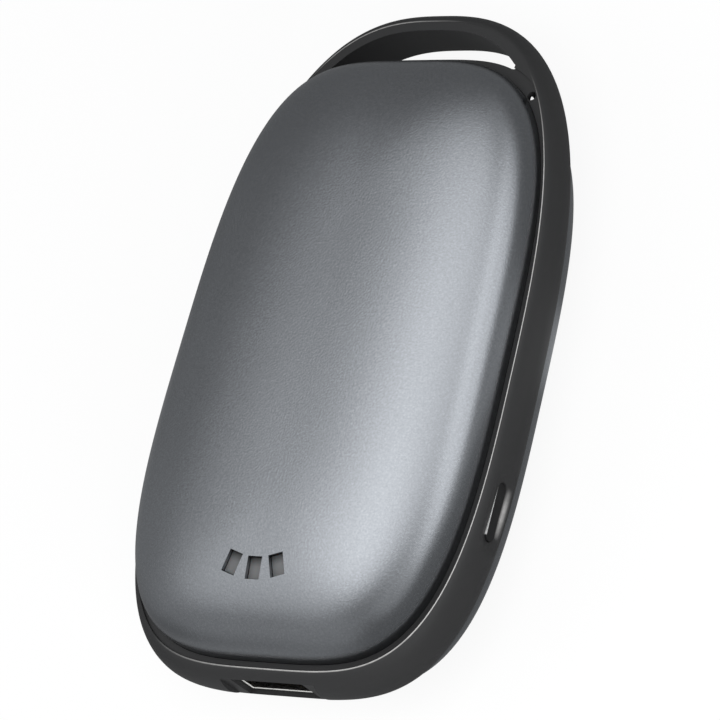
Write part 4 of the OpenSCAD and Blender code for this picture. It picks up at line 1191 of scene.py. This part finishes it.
# Half side of the floor in metres, how far it glows white, and the strength of the sky's light
FLOOR_HALF = 6
FLOOR_SHARE = 0.9
WORLD_LIGHT = 0.36
FLOOR_COLOUR = (0.8, 0.8, 0.8, 1)
SKY_COLOUR = (0.96, 0.98, 1, 1)
TENT_COLOUR = (0.975, 0.99, 1, 1)
WHITE = (1, 1, 1, 1)


def sees_backdrop(tree):
    """1 for the rays that are to see the white background."""
    rays = add(tree, "ShaderNodeLightPath").outputs
    seen = maths(tree, "MAXIMUM", rays["Is Camera Ray"], rays["Is Transmission Ray"])
    return maths(tree, "MAXIMUM", seen, rays["Is Glossy Ray"])


def blend(tree, surface, share, lit, shown):
    """Joins what lights the object with what the backdrop's rays see."""
    mix = add(tree, "ShaderNodeMixShader", {0: share, 1: lit.outputs[0], 2: shown.outputs[0]})
    tree.links.new(mix.outputs[0], surface)


def floor_finish():
    """Pale matt floor that the camera and glossy rays see as white where no shadow falls."""
    mat = bpy.data.materials.new("pale floor")
    tree, surface = cleared(mat)
    matt = add(tree, "ShaderNodeBsdfDiffuse", {"Color": FLOOR_COLOUR})
    white = add(tree, "ShaderNodeEmission", {"Color": WHITE, "Strength": 1.0})
    blend(tree, surface, maths(tree, "MULTIPLY", sees_backdrop(tree), FLOOR_SHARE), matt, white)
    return mat


corners = [(x * FLOOR_HALF, y * FLOOR_HALF, 0) for x, y in ((-1, -1), (1, -1), (1, 1), (-1, 1))]
floor = mesh_object("floor", corners, [(0, 1, 2, 3)])
floor.data.materials.append(floor_finish())

world = bpy.data.worlds.new("studio")
bpy.context.scene.world = world
tree, surface = cleared(world, "ShaderNodeOutputWorld")
lit = add(tree, "ShaderNodeBackground", {"Color": SKY_COLOUR, "Strength": WORLD_LIGHT})
shown = add(tree, "ShaderNodeBackground", {"Color": WHITE})
blend(tree, surface, sees_backdrop(tree), lit, shown)

# The tent in metres. Its windows: direction, half angles where the glow ends and is full, level. The
# levels are the output of a least-squares fit of the windows' renders to the tones of the photo's dome.
TENT_RADIUS = 0.5
TENT_FLOOR_Z = 0.0004
TENT_SEGMENTS = 64
TENT_ROWS = 32
TENT_BASE = 0.18
TENT_WINDOWS = [
    ((0.0, 0.2, 0.98), 34.0, 4.0, 1.098),
    ((-0.35, -0.05, 0.93), 34.0, 4.0, 0.552),
    ((0.35, 0.6, 0.72), 26.0, 4.0, 0.251),
    ((0.7, -0.3, 0.65), 36.0, 4.0, 0.276),
    ((-0.6, -0.4, 0.68), 36.0, 4.0, 0.084),
    ((-0.2, -0.88, 0.4), 40.0, 4.0, 0.153),
    ((0.93, 0.1, -0.12), 34.0, 5.0, 0.022),
    ((-0.92, -0.1, 0.35), 36.0, 4.0, 0.09),
    ((0.6, 0.05, 0.8), 24.0, 3.0, 0.217),
    ((0.75, 0.35, 0.55), 30.0, 4.0, 0.822),
    ((0.05, -0.5, 0.86), 30.0, 4.0, 0.082),
    ((0.85, 0.3, 0.42), 16.0, 2.0, 0.243),
    ((0.6, 0.3, 0.74), 16.0, 2.0, 0.414),
    ((0.45, 0.35, 0.82), 16.0, 2.0, 0.125),
    ((0.85, -0.05, 0.52), 18.0, 2.0, 0.31),
    ((0.95, 0.2, 0.2), 20.0, 2.0, 0.251),
]


def tent_finish():
    """Inside of the light tent: soft windows of light in a grey wall."""
    mat = bpy.data.materials.new("light tent")
    tree, surface = cleared(mat)
    place = add(tree, "ShaderNodeNewGeometry").outputs["Position"]
    unit = add(tree, "ShaderNodeVectorMath", {0: place}, operation="NORMALIZE").outputs[0]
    total = 0.0
    for aim, wide, narrow, level in TENT_WINDOWS:
        inputs = {0: unit, 1: Vector(aim).normalized()}
        along = add(tree, "ShaderNodeVectorMath", inputs, operation="DOT_PRODUCT").outputs["Value"]
        ends = [math.cos(math.radians(angle)) for angle in (wide, narrow)]
        total = maths(tree, "ADD", total, spread(tree, along, *ends, 0.0, level, "SMOOTHSTEP"))
    inputs = {"Strength": maths(tree, "ADD", total, TENT_BASE), "Color": TENT_COLOUR}
    tree.links.new(add(tree, "ShaderNodeEmission", inputs).outputs[0], surface)
    mat.cycles.emission_sampling = "NONE"
    return mat


def light_tent():
    """A tent that only reflections see, so that the domes show soft windows and dark rims."""
    n = TENT_SEGMENTS
    points = [(0, 0, TENT_RADIUS)]
    for k in range(1, TENT_ROWS + 1):
        a = math.pi / 2 * k / TENT_ROWS
        r = TENT_RADIUS * math.sin(a)
        z = TENT_RADIUS * math.cos(a) if k < TENT_ROWS else TENT_FLOOR_Z
        for i in range(n):
            t = 2 * math.pi * i / n
            points.append((r * math.cos(t), r * math.sin(t), z))
    last = len(points) - n
    points.append((0, 0, TENT_FLOOR_Z))
    faces = [(0, 1 + (i + 1) % n, 1 + i) for i in range(n)]
    for k in range(TENT_ROWS - 1):
        for i in range(n):
            a, b, j = 1 + k * n, 1 + (k + 1) * n, (i + 1) % n
            faces.append((a + i, a + j, b + j, b + i))
    faces += [(last + i, last + (i + 1) % n, len(points) - 1) for i in range(n)]
    tent = mesh_object("light tent", points, faces)
    tent.data.materials.append(tent_finish())
    for rays in ("camera", "diffuse", "transmission", "volume_scatter", "shadow"):
        setattr(tent, "visible_" + rays, False)


light_tent()


def soft_light(name, place, side, power):
    """Square lamp that looks at the object. Places and sides in metres, power in watts."""
    lamp = bpy.data.lights.new(name, "AREA")
    lamp.shape = "RECTANGLE"
    lamp.size = lamp.size_y = side
    lamp.energy = power
    obj = scene_object(name, lamp)
    obj.location = place
    obj.rotation_euler = (Vector(LAMP_AIM) - Vector(place)).to_track_quat("-Z", "Y").to_euler()
    obj.visible_glossy = False


LAMP_AIM = (0, 0, 0.02)
soft_light("key light", (0.3, -0.25, 0.85), 0.7, 6.5)
soft_light("low light", (0.62, -0.55, 0.3), 0.4, 5.0)
soft_light("fill light", (-0.5, -0.35, 0.6), 0.5, 1.5)

# The camera, as a fit to points on the photo gave it: its turns in degrees, and where the middle of the
# band lies in its view, in millimetres to the right, up, and out of the view
CAMERA_YAW, CAMERA_PITCH, CAMERA_ROLL = -35.3022, -19.1517, -14.6734
MIDDLE_IN_VIEW = (-0.042, -1.558, -744.383)
view = Matrix.Identity(3)
for degrees, axis in ((CAMERA_ROLL, "Z"), (CAMERA_PITCH, "X"), (CAMERA_YAW, "Y")):
    view = view @ Matrix.Rotation(math.radians(degrees), 3, axis)
camera = bpy.data.cameras.new("camera")
camera.lens = 225.0
camera.sensor_width = 36.0
camera.clip_start = 0.01
camera.clip_end = 20
eye = scene_object("camera", camera)
eye.rotation_euler = view.transposed().to_euler()
eye.location = (Vector((0, MID_Y, MID_Z)) - view.transposed() @ Vector(MIDDLE_IN_VIEW)) * MM
bpy.context.scene.camera = eye
bpy.context.scene.view_settings.view_transform = "Standard"
